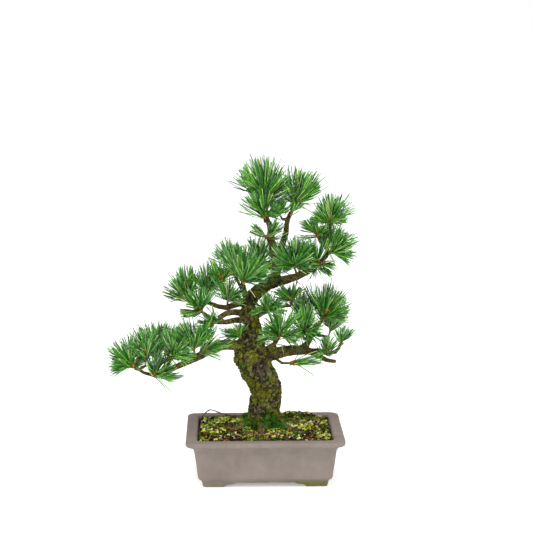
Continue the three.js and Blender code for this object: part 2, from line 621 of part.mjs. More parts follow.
// The mean direction in which a shoot leaves its twig.
function shootDirection(shoot) {
  const sum = vec(0, 0, 0);
  for (const one of shoot.brushes) {
    sum.addScaledVector(one.direction, one.bundles);
  }
  return sum.normalize();
}

const limbRods = [TRUNK, ...LIMBS].flatMap(centreLine);

const TWIG_MIDDLE = 0.55; // where a twig bends, as a share of the way from its limb
const STRAIGHT_SHARE = 0.4; // most of a twig's length that its straight end takes
const SAG_SHARE = 0.06; // most of a twig's length that it sags
const UPWARD_PULL = 0.5; // how much a twig prefers a limb that lies straight behind its shoot
const TWIG_BEND = 9; // longest straight end of a twig
const TWIG_SAG = 3; // deepest sag of a twig

// The twig that carries a shoot: from the nearest limb that lies below its foot, in a soft bend.
function twigPoints(shoot) {
  const direction = shootDirection(shoot);
  const widestLean = Math.max(...shoot.brushes.map((one) => one.direction.angleTo(direction)));
  const end = shoot.foot.clone().addScaledVector(direction, -GAP - STEM_RADIUS * Math.sin(widestLean));
  const bestRod = limbRods
    .map((rod) => ({ rod, middle: rod.from.clone().lerp(rod.to, 0.5) }))
    .map(({ rod, middle }) => {
      const away = end.clone().sub(middle);
      const sideways = 1 - away.clone().normalize().dot(direction);
      return { rod, middle, cost: (away.length() - rod.radius) * (1 + UPWARD_PULL * sideways) };
    })
    .reduce((best, next) => (next.cost < best.cost ? next : best));
  const start = bestRod.middle;
  const span = end.distanceTo(start);
  const bend = end.clone().addScaledVector(direction, -Math.min(span * STRAIGHT_SHARE, TWIG_BEND));
  const middle = start.clone().lerp(bend, TWIG_MIDDLE);
  middle.z -= Math.min(span * SAG_SHARE, TWIG_SAG);
  const baseRadius = Math.min(TWIG_BASE_RADIUS, bestRod.rod.radius);
  return [start, middle, bend, end].map((point, index) => {
    const radius = THREE.MathUtils.lerp(baseRadius, TWIG_TIP_RADIUS, index / 3);
    return [point.x, point.y, point.z, radius];
  });
}

const twigs = shoots.map(twigPoints);

// Trunk and roots, grown by extra where the soil and the moss are cut to them.
function rootedTrunk(extra) {
  const pieces = [limb(TRUNK, TRUNK_SIDES, TRUNK_STEP, extra)];
  for (const root of ROOTS) {
    pieces.push(limb(root, LIMB_SIDES, LIMB_STEP, extra));
  }
  return joinAll(pieces);
}

function wood() {
  const pieces = [rootedTrunk(0)];
  for (const points of LIMBS) {
    pieces.push(limb(points, LIMB_SIDES, LIMB_STEP));
  }
  for (const points of twigs) {
    pieces.push(limb(points, TWIG_SIDES, LIMB_STEP));
  }
  for (const lump of BURLS) {
    pieces.push(burl(lump));
  }
  return joinAll(pieces);
}

addPiece('trunk_and_branches', geometryOf(wood()), bark);

// ---------- soil ----------

const SOIL_UNEVEN = 1.6; // between the lowest and highest of the soil's bumps
const SOIL_RINGS = [0, 0.15, 0.4, 0.7]; // shares of the way in from the rim to the middle
const soilRandom = numberStream(11);

function soilTopRings() {
  const rings = [];
  const outer = rimOutline(innerInset(soilEdge) + GAP, soilEdge);
  for (const inward of SOIL_RINGS) {
    const height = soilTop(1 - inward, 0);
    rings.push(outer.map((point) => {
      const uneven = inward === 0 ? 0 : (soilRandom() - 0.5) * SOIL_UNEVEN;
      return vec(point.x * (1 - inward), point.y * (1 - inward), height + uneven);
    }));
  }
  return rings;
}

function soilBlock() {
  const rings = [];
  const filletTop = floorTop + FLOOR_FILLET;
  rings.push(rimOutline(innerFloorInset + FLOOR_FILLET + GAP, floorTop + GAP));
  rings.push(rimOutline(innerInset(filletTop) + GAP, filletTop + GAP));
  rings.push(rimOutline(wallTopInset + WALL_THICKNESS + GAP, lipBottom - coveHeight));
  rings.push(...soilTopRings());
  return solid(loft(rings));
}

// Room in the soil's underside for a drain screen, its clip and the drain hole.
function screenRoom(x) {
  const size = SCREEN_SIZE + 2 * GAP;
  const height = screenTop + GAP + CLIP_WIRE + CLIP_ROOM - FOOT_GAP;
  const room = new THREE.BoxGeometry(size, size, height);
  return solid(movedTo(room, x, 0, FOOT_GAP + height / 2));
}

const soilWithoutRoots = soilBlock();
const rootRoom = rootedTrunk(GAP);

function soil() {
  const cutters = [rootRoom];
  for (const [, x] of drainPlaces) {
    cutters.push(screenRoom(x));
  }
  return geometryOf(cutAll(soilWithoutRoots, cutters));
}

addPiece('soil', soil(), soilMix);

// ---------- moss cushions ----------

// Each row is a cushion's name, the place of its middle and its two half widths as shares of the
// soil's half length and half depth, and its height.
const MOSS = [
  ['moss_front_left', -0.73, -0.43, 0.26, 0.25, 4.5],
  ['moss_front_right', 0.35, -0.76, 0.21, 0.15, 4],
  ['moss_right', 0.78, 0, 0.18, 0.36, 4.5],
  ['moss_back_right', 0.52, 0.76, 0.28, 0.15, 7],
];
const MOSS_SIDES = 12;
const MOSS_LEAST = 0.82; // least and further reach of a cushion's uneven outline
const MOSS_FURTHER = 0.3;
const MOSS_DEPTH = 8; // how far the cutter for a cushion goes down, before the soil is taken off it
const MOSS_RINGS = [[1, 0.05], [0.86, 0.55], [0.5, 0.92]]; // shares of the half width and height

function mossCushion([, shareX, shareY, halfShareX, halfShareY, height], seed) {
  const random = numberStream(seed);
  const ground = soilTop(shareX, shareY);
  const outline = Array.from({ length: MOSS_SIDES }, (_, side) => {
    const angle = (side / MOSS_SIDES) * Math.PI * 2;
    const reach = MOSS_LEAST + MOSS_FURTHER * random();
    return [halfShareX * reach * Math.cos(angle), halfShareY * reach * Math.sin(angle)];
  });
  const ringAt = (spread, z) => outline.map(([x, y]) => (
    vec((shareX + spread * x) * soilHalfLength, (shareY + spread * y) * soilHalfDepth, z)
  ));
  const rings = [ringAt(1, ground - MOSS_DEPTH)];
  for (const [spread, lift] of MOSS_RINGS) {
    rings.push(ringAt(spread, ground + lift * height));
  }
  const raisedSoil = soilWithoutRoots.translate([0, 0, GAP]);
  return geometryOf(cutAll(solid(loft(rings)), [raisedSoil, rootRoom]));
}

MOSS.forEach((row, index) => {
  addPiece(row[0], mossCushion(row, 31 + index), mossGreen);
});

// ---------- dry roots that lie over the soil ----------

// Each row is a share of the soil's half length, a share of its half depth and a height over the soil.
const DRY_ROOTS = {
  dry_root_back: [
    [-0.97, 0.73, 3.1], [-0.92, 0.86, 6], [-0.82, 0.99, 10.9], [-0.71, 0.96, 7.5], [-0.54, 0.86, 3.6],
    [-0.35, 0.83, 3],
  ],
  dry_root_front: [
    [-0.28, -0.63, 2.4], [-0.21, -0.73, 3], [-0.05, -0.79, 3.8], [0.12, -0.76, 3], [0.24, -0.66, 2.4],
  ],
};
const DRY_ROOT_STEPS = 12;

for (const [name, rows] of Object.entries(DRY_ROOTS)) {
  const points = rows.map(([shareX, shareY, height]) => [
    shareX * soilHalfLength, shareY * soilHalfDepth, soilTop(shareX, shareY) + height,
  ]);
  addPiece(name, wire(smoothLine(points), DRY_ROOT_WIRE, DRY_ROOT_STEPS), dryRoot);
}

// ---------- needles ----------

// Shortest distance between two straight rods.
function rodDistance(a, b) {
  const alongA = a.to.clone().sub(a.from);
  const alongB = b.to.clone().sub(b.from);
  const between = a.from.clone().sub(b.from);
  const aa = alongA.dot(alongA);
  const bb = alongB.dot(alongB);
  const ab = alongA.dot(alongB);
  const fromA = alongA.dot(between);
  const fromB = alongB.dot(between);
  const spread = aa * bb - ab * ab;
  let s = spread > 1e-9 ? THREE.MathUtils.clamp((ab * fromB - bb * fromA) / spread, 0, 1) : 0;
  const t = THREE.MathUtils.clamp((ab * s + fromB) / bb, 0, 1);
  s = THREE.MathUtils.clamp((ab * t - fromA) / aa, 0, 1);
  const onA = a.from.clone().addScaledVector(alongA, s);
  const onB = b.from.clone().addScaledVector(alongB, t);
  return onA.distanceTo(onB);
}

// Rods that needles have to stay clear of, each with the shoot that it belongs to.
const occupied = [];
for (const rod of limbRods) {
  occupied.push({ ...rod, radius: rod.radius + 2 * NEEDLE_GAP });
}
for (const rod of twigs.flatMap(centreLine)) {
  occupied.push({ ...rod, radius: rod.radius + NEEDLE_GAP });
}
for (const [x, y, z, radius] of BURLS) {
  const half = (BURL_STRETCH - 1) * radius;
  occupied.push({ from: vec(x, y, z - half), to: vec(x, y, z + half), radius });
}
for (const shoot of shoots) {
  for (const one of shoot.brushes) {
    const to = shoot.foot.clone().addScaledVector(one.direction, one.stem);
    occupied.push({ from: shoot.foot, to, radius: HEAD_RADIUS, owner: shoot.name });
  }
}

function isClear(rod, owner) {
  return occupied.every((other) => {
    if (other.owner === owner) {
      return true;
    }
    return rodDistance(rod, other) > rod.radius + other.radius + NEEDLE_GAP;
  });
}

// A direction tilted away from an axis, turned about it by the given angle.
function tilted(axis, tilt, turn) {
  const isSteep = Math.abs(axis.z) > 0.9;
  const helper = isSteep ? vec(1, 0, 0) : vec(0, 0, 1);
  const side = helper.cross(axis).normalize();
  const across = axis.clone().cross(side);
  return axis.clone().multiplyScalar(Math.cos(tilt))
    .addScaledVector(side, Math.sin(tilt) * Math.cos(turn))
    .addScaledVector(across, Math.sin(tilt) * Math.sin(turn));
}

const HEAD_MARGIN = 12; // degrees by which the points on a head go past the fan's edge
const WIDEST_HEAD = 100; // degrees
const HEAD_UNEVEN = 0.2; // radians by which points stray from the even spiral
const FAN_SLACK = 4; // degrees by which a bundle may lean out of its fan
const ON_HEAD = 0.01; // how near to the head's sphere a corner counts as on it
const SHORTEST_BUNDLE = 0.86; // share of the brush's reach
const LENGTH_SPREAD = 0.22;

const FEWEST_CORNERS = 3; // corners of the smallest head of a brush

// The young stem of a brush: three points round its foot, and a head of points on a sphere, spread
// over the fan on an even spiral. Its faces towards the fan carry one bundle of needles each.
function youngStem(foot, one, random) {
  const head = foot.clone().addScaledVector(one.direction, one.stem);
  const points = [0, 1, 2].map((corner) => {
    const around = tilted(one.direction, Math.PI / 2, (corner / 3) * Math.PI * 2);
    return foot.clone().addScaledVector(around, STEM_RADIUS);
  });
  const corners = Math.round(one.bundles / 2) + FEWEST_CORNERS;
  const golden = Math.PI * (3 - Math.sqrt(5));
  const start = random() * Math.PI * 2;
  const widest = Math.min(one.spread + HEAD_MARGIN, WIDEST_HEAD);
  const cap = 1 - Math.cos(THREE.MathUtils.degToRad(widest));
  for (let index = 0; index < corners; index += 1) {
    const tilt = Math.acos(1 - cap * ((index + 0.5) / corners));
    const turn = start + golden * index + (random() - 0.5) * HEAD_UNEVEN;
    const direction = tilted(one.direction, tilt, turn);
    points.push(head.clone().addScaledVector(direction, HEAD_RADIUS));
  }
  return { head, geometry: new ConvexGeometry(points) };
}

// A bundle of needles that stands on a triangular face, with a point at its end.
function bundleOnFace(face, middle, direction, length) {
  const shoulder = middle.clone().addScaledVector(direction, length - BUNDLE_POINT);
  const end = middle.clone().addScaledVector(direction, length);
  const ring = face.map((corner) => {
    const outwards = corner.clone().sub(middle);
    outwards.addScaledVector(direction, -outwards.dot(direction));
    return shoulder.clone().addScaledVector(outwards.normalize(), BUNDLE_RADIUS);
  });
  const triangles = [];
  for (let corner = 0; corner < 3; corner += 1) {
    const next = (corner + 1) % 3;
    triangles.push([face[corner], face[next], ring[next]]);
    triangles.push([face[corner], ring[next], ring[corner]]);
    triangles.push([ring[corner], ring[next], end]);
  }
  return triangles;
}

// One brush: the young stem with a bundle on each face that looks into the fan and has room.
function needleBrush(shoot, one, random) {
  const { head, geometry } = youngStem(shoot.foot, one, random);
  const corners = geometry.attributes.position;
  const widest = Math.cos(THREE.MathUtils.degToRad(one.spread + FAN_SLACK));
  const triangles = [];
  for (let first = 0; first < corners.count; first += 3) {
    const face = [first, first + 1, first + 2].map((corner) => (
      new THREE.Vector3().fromBufferAttribute(corners, corner)
    ));
    const middle = face[0].clone().add(face[1]).add(face[2]).divideScalar(3);
    const direction = middle.clone().sub(head).normalize();
    const isOnHead = face.every((corner) => corner.distanceTo(head) < HEAD_RADIUS + ON_HEAD);
    let length = 0;
    if (isOnHead && direction.dot(one.direction) > widest) {
      const full = (one.reach - one.stem) * (SHORTEST_BUNDLE + LENGTH_SPREAD * random());
      length = clearLength(middle, direction, full, shoot.name);
    }
    if (length > 0) {
      triangles.push(...bundleOnFace(face, middle, direction, length));
    } else {
      triangles.push(face);
    }
  }
  const brushGeometry = new THREE.BufferGeometry().setFromPoints(triangles.flat());
  return solid(brushGeometry);
}

// The longest of a few lengths at which a bundle stays clear of everything else, or 0.
function clearLength(from, direction, full, owner) {
  for (const share of [1, 0.85, 0.7, 0.55]) {
    const to = from.clone().addScaledVector(direction, share * full);
    const rod = { from, to, radius: BUNDLE_RADIUS };
    if (isClear(rod, owner)) {
      occupied.push({ ...rod, owner });
      return share * full;
    }
  }
  return 0;
}

function needleShoot(shoot, seed) {
  const random = numberStream(seed);
  return geometryOf(joinAll(shoot.brushes.map((one) => needleBrush(shoot, one, random))));
}

shoots.forEach((shoot, index) => {
  addPiece(shoot.name, needleShoot(shoot, 101 + index), needleGreen);
});

// ---------- origin ----------

const box = new THREE.Box3().setFromObject(object);
const middle = box.getCenter(vec(0, 0, 0));
object.position.set(-middle.x, -middle.y, -box.min.z);

export default object;
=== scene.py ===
import math

import bmesh
import bpy
import numpy as np
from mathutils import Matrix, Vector, noise
from mathutils.bvhtree import BVHTree


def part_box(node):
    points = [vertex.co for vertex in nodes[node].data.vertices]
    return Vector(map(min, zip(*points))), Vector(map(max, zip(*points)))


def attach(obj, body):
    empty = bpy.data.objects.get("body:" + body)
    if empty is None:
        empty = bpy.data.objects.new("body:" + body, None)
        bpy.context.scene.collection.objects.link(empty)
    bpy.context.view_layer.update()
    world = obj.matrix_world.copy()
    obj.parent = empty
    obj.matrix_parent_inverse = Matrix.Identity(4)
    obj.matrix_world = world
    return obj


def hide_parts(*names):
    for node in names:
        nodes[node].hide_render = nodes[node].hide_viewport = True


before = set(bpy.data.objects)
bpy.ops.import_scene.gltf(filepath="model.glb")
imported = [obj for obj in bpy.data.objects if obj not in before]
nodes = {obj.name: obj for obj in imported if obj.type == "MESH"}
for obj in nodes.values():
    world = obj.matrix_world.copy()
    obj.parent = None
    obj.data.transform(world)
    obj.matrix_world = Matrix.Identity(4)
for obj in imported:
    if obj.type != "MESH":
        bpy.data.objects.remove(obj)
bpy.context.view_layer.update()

# A white pine bonsai in an unglazed pot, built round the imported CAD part. Metres, CAD frame.

NOISE_SEED, SHOOT_SEED, GROUND_SEED = 1, 500, 77
MM = 0.001
UV_NAME = "OFBake"
scene = bpy.context.scene
pot_low, pot_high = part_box("pot")
pot_middle = (pot_low + pot_high) / 2
soil_low, soil_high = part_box("soil")
noise.seed_set(NOISE_SEED)


# ---------- colours ----------

def colour(red, green, blue):
    """A linear colour from the usual 0 to 255 values."""
    def linear(value):
        value /= 255
        return value / 12.92 if value <= 0.04045 else ((value + 0.055) / 1.055) ** 2.4
    return (linear(red), linear(green), linear(blue), 1.0)


def even(*shades):
    """Stops for a ramp, evenly spread."""
    return [(index / (len(shades) - 1), shade) for index, shade in enumerate(shades)]


# ---------- node materials ----------

class Look:
    """A node material under construction. Its methods add nodes and return an output socket."""

    def __init__(self, name):
        self.material = bpy.data.materials.new(name)
        self.material.use_nodes = True
        self.tree = self.material.node_tree
        self.tree.nodes.clear()
        self.shader = self.tree.nodes.new("ShaderNodeBsdfPrincipled")
        output = self.tree.nodes.new("ShaderNodeOutputMaterial")
        self.tree.links.new(self.shader.outputs["BSDF"], output.inputs["Surface"])

    def feed(self, socket, value):
        if isinstance(value, bpy.types.NodeSocket):
            self.tree.links.new(value, socket)
        else:
            socket.default_value = value

    def add(self, kind, output, inputs, **settings):
        node = self.tree.nodes.new("ShaderNode" + kind)
        for name, value in settings.items():
            setattr(node, name, value)
        for name, value in inputs.items():
            self.feed(node.inputs[name], value)
        return node.outputs[output]

    def place(self):
        return self.add("TexCoord", "Object", {})

    def uv(self):
        return self.add("UVMap", "UV", {}, uv_map=UV_NAME)

    def attribute(self, name):
        return self.add("Attribute", "Fac", {}, attribute_name=name)

    def noise(self, scale, detail=4.0, roughness=0.6, place=None):
        return self.add("TexNoise", "Fac", {"Vector": place or self.place(), "Scale": scale,
                                            "Detail": detail, "Roughness": roughness})

    def cells(self, scale, feature="F1", output="Distance", place=None):
        inputs = {"Vector": place or self.place(), "Scale": scale}
        return self.add("TexVoronoi", output, inputs, feature=feature)

    def random(self, place):
        return self.add("TexWhiteNoise", "Value", {"Vector": place}, noise_dimensions="3D")

    def maths(self, operation, first, second=0.0):
        return self.add("Math", 0, {0: first, 1: second}, operation=operation)

    def times(self, first, second):
        return self.maths("MULTIPLY", first, second)

    def between(self, value, low, high, start=0.0, end=1.0):
        """The value taken from low..high to start..end and held at the ends."""
        return self.add("MapRange", "Result", {"Value": value, "From Min": low, "From Max": high,
                                               "To Min": start, "To Max": end})

    def parts(self, vector):
        """The three outputs of a vector, by their names or places."""
        node = self.tree.nodes.new("ShaderNodeSeparateXYZ")
        self.feed(node.inputs["Vector"], vector)
        return node.outputs

    def joined(self, x, y, z=0.0):
        return self.add("CombineXYZ", "Vector", {"X": x, "Y": y, "Z": z})

    def stretched(self, x, y, z):
        return self.add("Mapping", "Vector", {"Vector": self.place(), "Scale": (x, y, z)})

    def ramp(self, value, stops):
        """Colours along a value, from pairs of a place and a shade, as red, green and blue to 255."""
        node = self.tree.nodes.new("ShaderNodeValToRGB")
        self.feed(node.inputs["Fac"], value)
        elements = node.color_ramp.elements
        while len(elements) < len(stops):
            elements.new(0.5)
        for element, (place, shade) in zip(elements, stops):
            element.position = place
            element.color = colour(*shade)
        return node.outputs["Color"]

    def mix(self, share, first, second):
        """Two colours mixed. The sockets for colours have their numbers, as their names aren't unique."""
        return self.add("Mix", 2, {"Factor": share, 6: first, 7: second}, data_type="RGBA")

    def over(self, base, shade, share):
        """The base with a share of a shade over it."""
        return self.mix(share, base, colour(*shade))

    def tint(self, base, shade, value, low, high, start=0.0, end=1.0):
        """The base with a shade over it, whose share follows the value."""
        return self.over(base, shade, self.between(value, low, high, start, end))

    def bump(self, height, distance, strength, under=None):
        """A bump of the surface, on top of the one under it if that is given."""
        inputs = {"Strength": strength, "Distance": distance, "Height": height}
        if under is not None:
            inputs["Normal"] = under
        return self.add("Bump", "Normal", inputs)

    def done(self, base, normal, rough_by, low, high, specular=0.5, metallic=0.0):
        """The material, its roughness from low to high by a value."""
        inputs = self.shader.inputs
        self.feed(inputs["Base Color"], base)
        self.feed(inputs["Roughness"], self.between(rough_by, 0.3, 0.7, low, high))
        self.feed(inputs["Normal"], normal)
        inputs["Specular IOR Level"].default_value = specular
        inputs["Metallic"].default_value = metallic
        return self.material


class CellLook(Look):
    """A material for many small things that share a grid of cells in their UV map."""

    def __init__(self, name, grid):
        super().__init__(name)
        columns, rows = grid
        across, up, _ = self.parts(self.uv())
        across = self.times(across, columns)
        up = self.times(up, rows)
        self.column = self.maths("FLOOR", across)
        self.row = self.maths("FLOOR", up)
        self.a = self.maths("FRACT", across)
        self.b = self.maths("FRACT", up)

    def cell_random(self, seed):
        return self.random(self.joined(self.column, self.row, seed))

    def grain(self, stretch_a, stretch_b, detail=2.0):
        """Fine noise inside each cell, different from cell to cell."""
        x = self.times(self.a, stretch_a)
        y = self.times(self.b, stretch_b)
        shift = self.times(self.cell_random(9), 40.0)
        return self.noise(1.0, detail, place=self.joined(x, y, shift))


# ---------- the materials ----------

ALGAE_FADE = (5 * MM, 13 * MM)  # heights over the table between which the algae on the feet fades out
ALGAE_SIDE = (20 * MM, 70 * MM)  # from the pot's middle to the right, where the algae gets stronger
LOW_DARKENING_TOP = 12 * MM  # height over the table under which the clay is darker in patches, more so towards the bottom


def clay_look():
    look = Look("clay")
    aside, _, height = look.parts(look.place())
    cloudy = look.noise(28, 5, 0.62)
    speckle = look.noise(620, 3, 0.7)
    spots = look.cells(260)
    base = look.ramp(cloudy, [(0.3, (117, 107, 101)), (0.5, (127, 117, 110)), (0.72, (136, 126, 118))])
    base = look.tint(base, (104, 93, 84), speckle, 0.45, 0.75, 0.0, 0.3)
    base = look.tint(base, (166, 156, 146), spots, 0.0, 0.12, 0.35, 0.0)
    stain = look.noise(46, 4, 0.6, look.stretched(1, 1, 0.25))
    base = look.tint(base, (106, 92, 78), stain, 0.56, 0.72, 0.0, 0.22)
    low = look.between(height, *ALGAE_FADE, 1.0, 0.0)
    patch = look.between(look.noise(60, 4, 0.65), 0.36, 0.5)
    right = look.between(aside, *ALGAE_SIDE, 0.3, 1.0)
    algae = look.times(look.times(low, patch), right)
    green = look.ramp(speckle, [(0.35, (72, 78, 34)), (0.65, (112, 110, 52))])
    base = look.mix(look.times(algae, 0.95), base, green)
    # The clay is darker in patches towards the bottom.
    under = look.between(look.noise(70, 4, 0.6), 0.5, 0.7, 0.0, 0.3)
    darkened_low = look.times(look.between(height, 0.0, LOW_DARKENING_TOP, 1.0, 0.0), under)
    base = look.over(base, (92, 82, 70), darkened_low)
    fine = look.noise(900, 3, 0.65)
    pits = look.between(look.cells(420), 0.0, 0.22)
    normal = look.bump(fine, 0.35 * MM, 0.5)
    normal = look.bump(pits, 0.3 * MM, 0.25, normal)
    return look.done(base, normal, cloudy, 0.78, 0.92, specular=0.25)


def bark_look():
    look = Look("bark")
    moss = look.attribute("moss")
    furrow_shade = look.attribute("shade_in_furrows")
    girth = look.attribute("girth")
    vivid = look.attribute("vivid")
    broad = look.noise(90, 5, 0.65)
    fine = look.noise(520, 4, 0.7)
    plates = look.cells(210, "DISTANCE_TO_EDGE", place=look.stretched(1, 1, 0.7))
    old = look.ramp(broad, [(0.3, (38, 32, 20)), (0.5, (84, 74, 50)), (0.72, (140, 128, 100))])
    young = look.ramp(broad, [(0.3, (70, 60, 28)), (0.55, (112, 98, 50)), (0.75, (104, 108, 42))])
    old_share = look.between(girth, 0.1, 0.5)
    base = look.mix(old_share, young, old)
    base = look.tint(base, (34, 28, 16), fine, 0.42, 0.66, 0.0, 0.6)
    mossy = look.ramp(fine, [(0.32, (40, 42, 6)), (0.5, (90, 96, 16)), (0.66, (148, 144, 40))])
    bright = look.ramp(fine, [(0.3, (12, 34, 2)), (0.5, (38, 84, 8)), (0.7, (88, 136, 24))])
    mossy = look.mix(vivid, mossy, bright)
    blotch = look.noise(230, 4, 0.7)
    lichen = look.noise(150, 3, 0.7, look.stretched(1, 1, 1.3))
    edge = look.between(look.maths("ADD", moss, look.between(fine, 0.3, 0.7, -0.3, 0.3)), 0.34, 0.56)
    base = look.mix(edge, base, mossy)
    crust = look.times(look.between(lichen, 0.6, 0.72, 0.0, 0.7), old_share)
    base = look.over(base, (168, 162, 118), crust)
    base = look.tint(base, (18, 17, 6), blotch, 0.49, 0.6, 0.0, 0.88)
    # Painted shade: the bark's furrows are darkened where the bark goes in.
    base = look.over(base, (16, 14, 6), look.times(furrow_shade, 0.8))
    normal = look.bump(fine, 1.2 * MM, 0.8)
    normal = look.bump(look.between(plates, 0.0, 0.25), 0.8 * MM, 0.5, normal)
    return look.done(base, normal, fine, 0.85, 1.0, specular=0.2)


NEEDLE_COLUMNS = 16
NEEDLE_GRID = (NEEDLE_COLUMNS, 4)
STEM_ROW = 3  # the rows under it are for needles
TWIG_CELLS = 6  # cells of the stem row that look like a twig, the rest look like sheaths and buds


def needle_look():
    look = CellLook("needles", NEEDLE_GRID)
    tone_and_painted_light = look.cell_random(1)
    streak = look.grain(60.0, 5.0)
    # The outer side's colour comes from each needle's random value. It is partly a real tone that differs
    # from needle to needle and partly painted light: the darkest needles are painted shade and the palest
    # are painted highlight.
    outer = look.ramp(tone_and_painted_light, [(0.0, (8, 42, 8)), (0.22, (26, 92, 12)),
                             (0.5, (74, 162, 24)), (0.8, (122, 200, 56)), (1.0, (212, 232, 150))])
    outer = look.tint(outer, (24, 84, 16), streak, 0.35, 0.65, 0.0, 0.3)
    strip = look.times(look.a, 3.0)
    inside = look.maths("GREATER_THAN", strip, 1.0)
    across = look.maths("FRACT", strip)
    off_middle = look.maths("ABSOLUTE", look.maths("SUBTRACT", across, 0.5))
    band = look.between(off_middle, 0.1, 0.22)
    inner = look.ramp(look.cell_random(2), [(0.0, (60, 128, 60)), (0.6, (122, 186, 118)),
                                            (1.0, (200, 226, 190))])
    paleness = look.between(look.cell_random(7), 0.4, 0.95, 0.0, 0.85)
    pale = look.times(look.times(inside, paleness), look.between(band, 0.0, 1.0, 0.4))
    base = look.mix(pale, outer, inner)
    base = look.tint(base, (158, 140, 60), look.b, 0.0, 0.16, 0.75, 0.0)
    tips = look.times(look.between(look.b, 0.95, 1.0), look.cell_random(3))
    base = look.over(base, (206, 200, 140), look.times(tips, 0.6))
    normal = look.bump(streak, 0.1 * MM, 0.4)
    return look.done(base, normal, streak, 0.3, 0.42)


def young_stem_look():
    look = CellLook("young_stems", NEEDLE_GRID)
    flecks = look.grain(9.0, 14.0, 4.0)
    base = look.ramp(look.cell_random(4), [(0.0, (140, 70, 20)), (0.35, (190, 104, 32)),
                                           (0.7, (216, 134, 46)), (1.0, (222, 164, 84))])
    base = look.tint(base, (220, 184, 124), look.b, 0.7, 1.0, 0.0, 0.5)
    twig = look.ramp(look.cell_random(8), even((78, 66, 30), (108, 86, 42), (112, 108, 50)))
    base = look.mix(look.maths("LESS_THAN", look.column, TWIG_CELLS), base, twig)
    base = look.tint(base, (70, 42, 22), flecks, 0.42, 0.68, 0.0, 0.6)
    normal = look.bump(flecks, 0.4 * MM, 0.6)
    return look.done(base, normal, flecks, 0.6, 0.8, specular=0.3)


def soil_look():
    look = Look("soil_mix")
    crumbs = look.cells(330)
    broad = look.noise(60, 5, 0.65)
    fine = look.noise(700, 4, 0.7)
    base = look.ramp(broad, [(0.3, (26, 16, 8)), (0.5, (52, 34, 18)), (0.7, (84, 58, 32))])
    base = look.tint(base, (20, 13, 7), fine, 0.4, 0.7, 0.0, 0.6)
    base = look.tint(base, (142, 112, 74), look.cells(330, "F1", "Color"), 0.75, 0.95, 0.0, 0.4)
    normal = look.bump(crumbs, 1.2 * MM, 0.8)
    normal = look.bump(fine, 0.6 * MM, 0.6, normal)
    return look.done(base, normal, fine, 0.85, 1.0, specular=0.15)


SMALL_GRID = (8, 8)
SMALL_CELLS = SMALL_GRID[0] * SMALL_GRID[1]


def grain_look(name, stops, dark):
    look = CellLook(name, SMALL_GRID)
    flecks = look.grain(6.0, 6.0, 4.0)
    base = look.ramp(look.cell_random(5), stops)
    base = look.tint(base, dark, flecks, 0.42, 0.7, 0.0, 0.5)
    normal = look.bump(flecks, 0.4 * MM, 0.6)
    return look.done(base, normal, flecks, 0.8, 0.95, specular=0.2)


def leaf_look(name, stops, tip, gloss=(0.45, 0.6)):
    look = CellLook(name, SMALL_GRID)
    veins = look.grain(10.0, 3.0, 3.0)
    base = look.ramp(look.cell_random(6), stops)
    base = look.tint(base, stops[0][1], veins, 0.4, 0.7, 0.0, 0.35)
    base = look.tint(base, tip, look.b, 0.55, 1.0, 0.0, 0.5)
    normal = look.bump(veins, 0.2 * MM, 0.4)
    return look.done(base, normal, veins, *gloss, specular=0.3)


def moss_look():
    look = Look("moss")
    fine = look.noise(900, 4, 0.7)
    broad = look.noise(70, 4, 0.6)
    base = look.ramp(fine, [(0.32, (24, 34, 4)), (0.5, (62, 84, 12)), (0.7, (120, 140, 34))])
    base = look.tint(base, (62, 46, 20), broad, 0.42, 0.62, 0.0, 0.75)
    normal = look.bump(fine, 1.4 * MM, 1.0)
    return look.done(base, normal, fine, 0.85, 1.0, specular=0.15)


def worn_look(name, scale, stops, bump, roughness, **uniform):
    """A surface with fine marks, in colour, bump and roughness alike."""
    look = Look(name)
    marks = look.noise(scale, 4, 0.7)
    return look.done(look.ramp(marks, stops), look.bump(marks, *bump), marks, *roughness, **uniform)


def dry_root_look():
    return worn_look("dry_root", 500, [(0.3, (78, 46, 32)), (0.5, (122, 80, 60)), (0.72, (158, 118, 92))],
                     (0.4 * MM, 0.7), (0.7, 0.9), specular=0.2)


def plastic_look():
    return worn_look("screen_plastic", 300, [(0.35, (26, 28, 30)), (0.7, (58, 58, 56))],
                     (0.1 * MM, 0.4), (0.45, 0.7))


def wire_look():
    return worn_look("clip_wire", 260, [(0.35, (120, 104, 92)), (0.7, (176, 168, 160))],
                     (0.08 * MM, 0.4), (0.3, 0.55), metallic=0.9)


FLOOR_GLOW = 0.3  # light of the floor itself, as of a sheet lit from below


def floor_look():
    look = Look("pale_floor")
    cloudy = look.noise(3, 3, 0.5)
    base = look.ramp(cloudy, [(0.3, (246, 246, 246)), (0.7, (250, 250, 250))])
    normal = look.bump(look.noise(400, 2), 0.05 * MM, 0.2)
    look.shader.inputs["Emission Color"].default_value = (1, 1, 1, 1)
    look.shader.inputs["Emission Strength"].default_value = FLOOR_GLOW
    return look.done(base, normal, cloudy, 0.85, 0.95, specular=0.1)


# ---------- meshes ----------

def make_object(name, places, faces, materials, smooth=True, uv=None, face_materials=None):
    """A mesh object from arrays. uv has one pair for each corner of each face, in order."""
    mesh = bpy.data.meshes.new(name)
    mesh.from_pydata([tuple(p) for p in places], [], [tuple(f) for f in faces])
    for one in materials:
        mesh.materials.append(one)
    mesh.polygons.foreach_set("use_smooth", [smooth] * len(mesh.polygons))
    if face_materials is not None:
        mesh.polygons.foreach_set("material_index", np.asarray(face_materials, np.int32))
    if uv is not None:
        layer = mesh.uv_layers.new(name=UV_NAME)
        layer.data.foreach_set("uv", np.asarray(uv, np.float32).ravel())
    mesh.update()
    made = bpy.data.objects.new(name, mesh)
    scene.collection.objects.link(made)
    return made


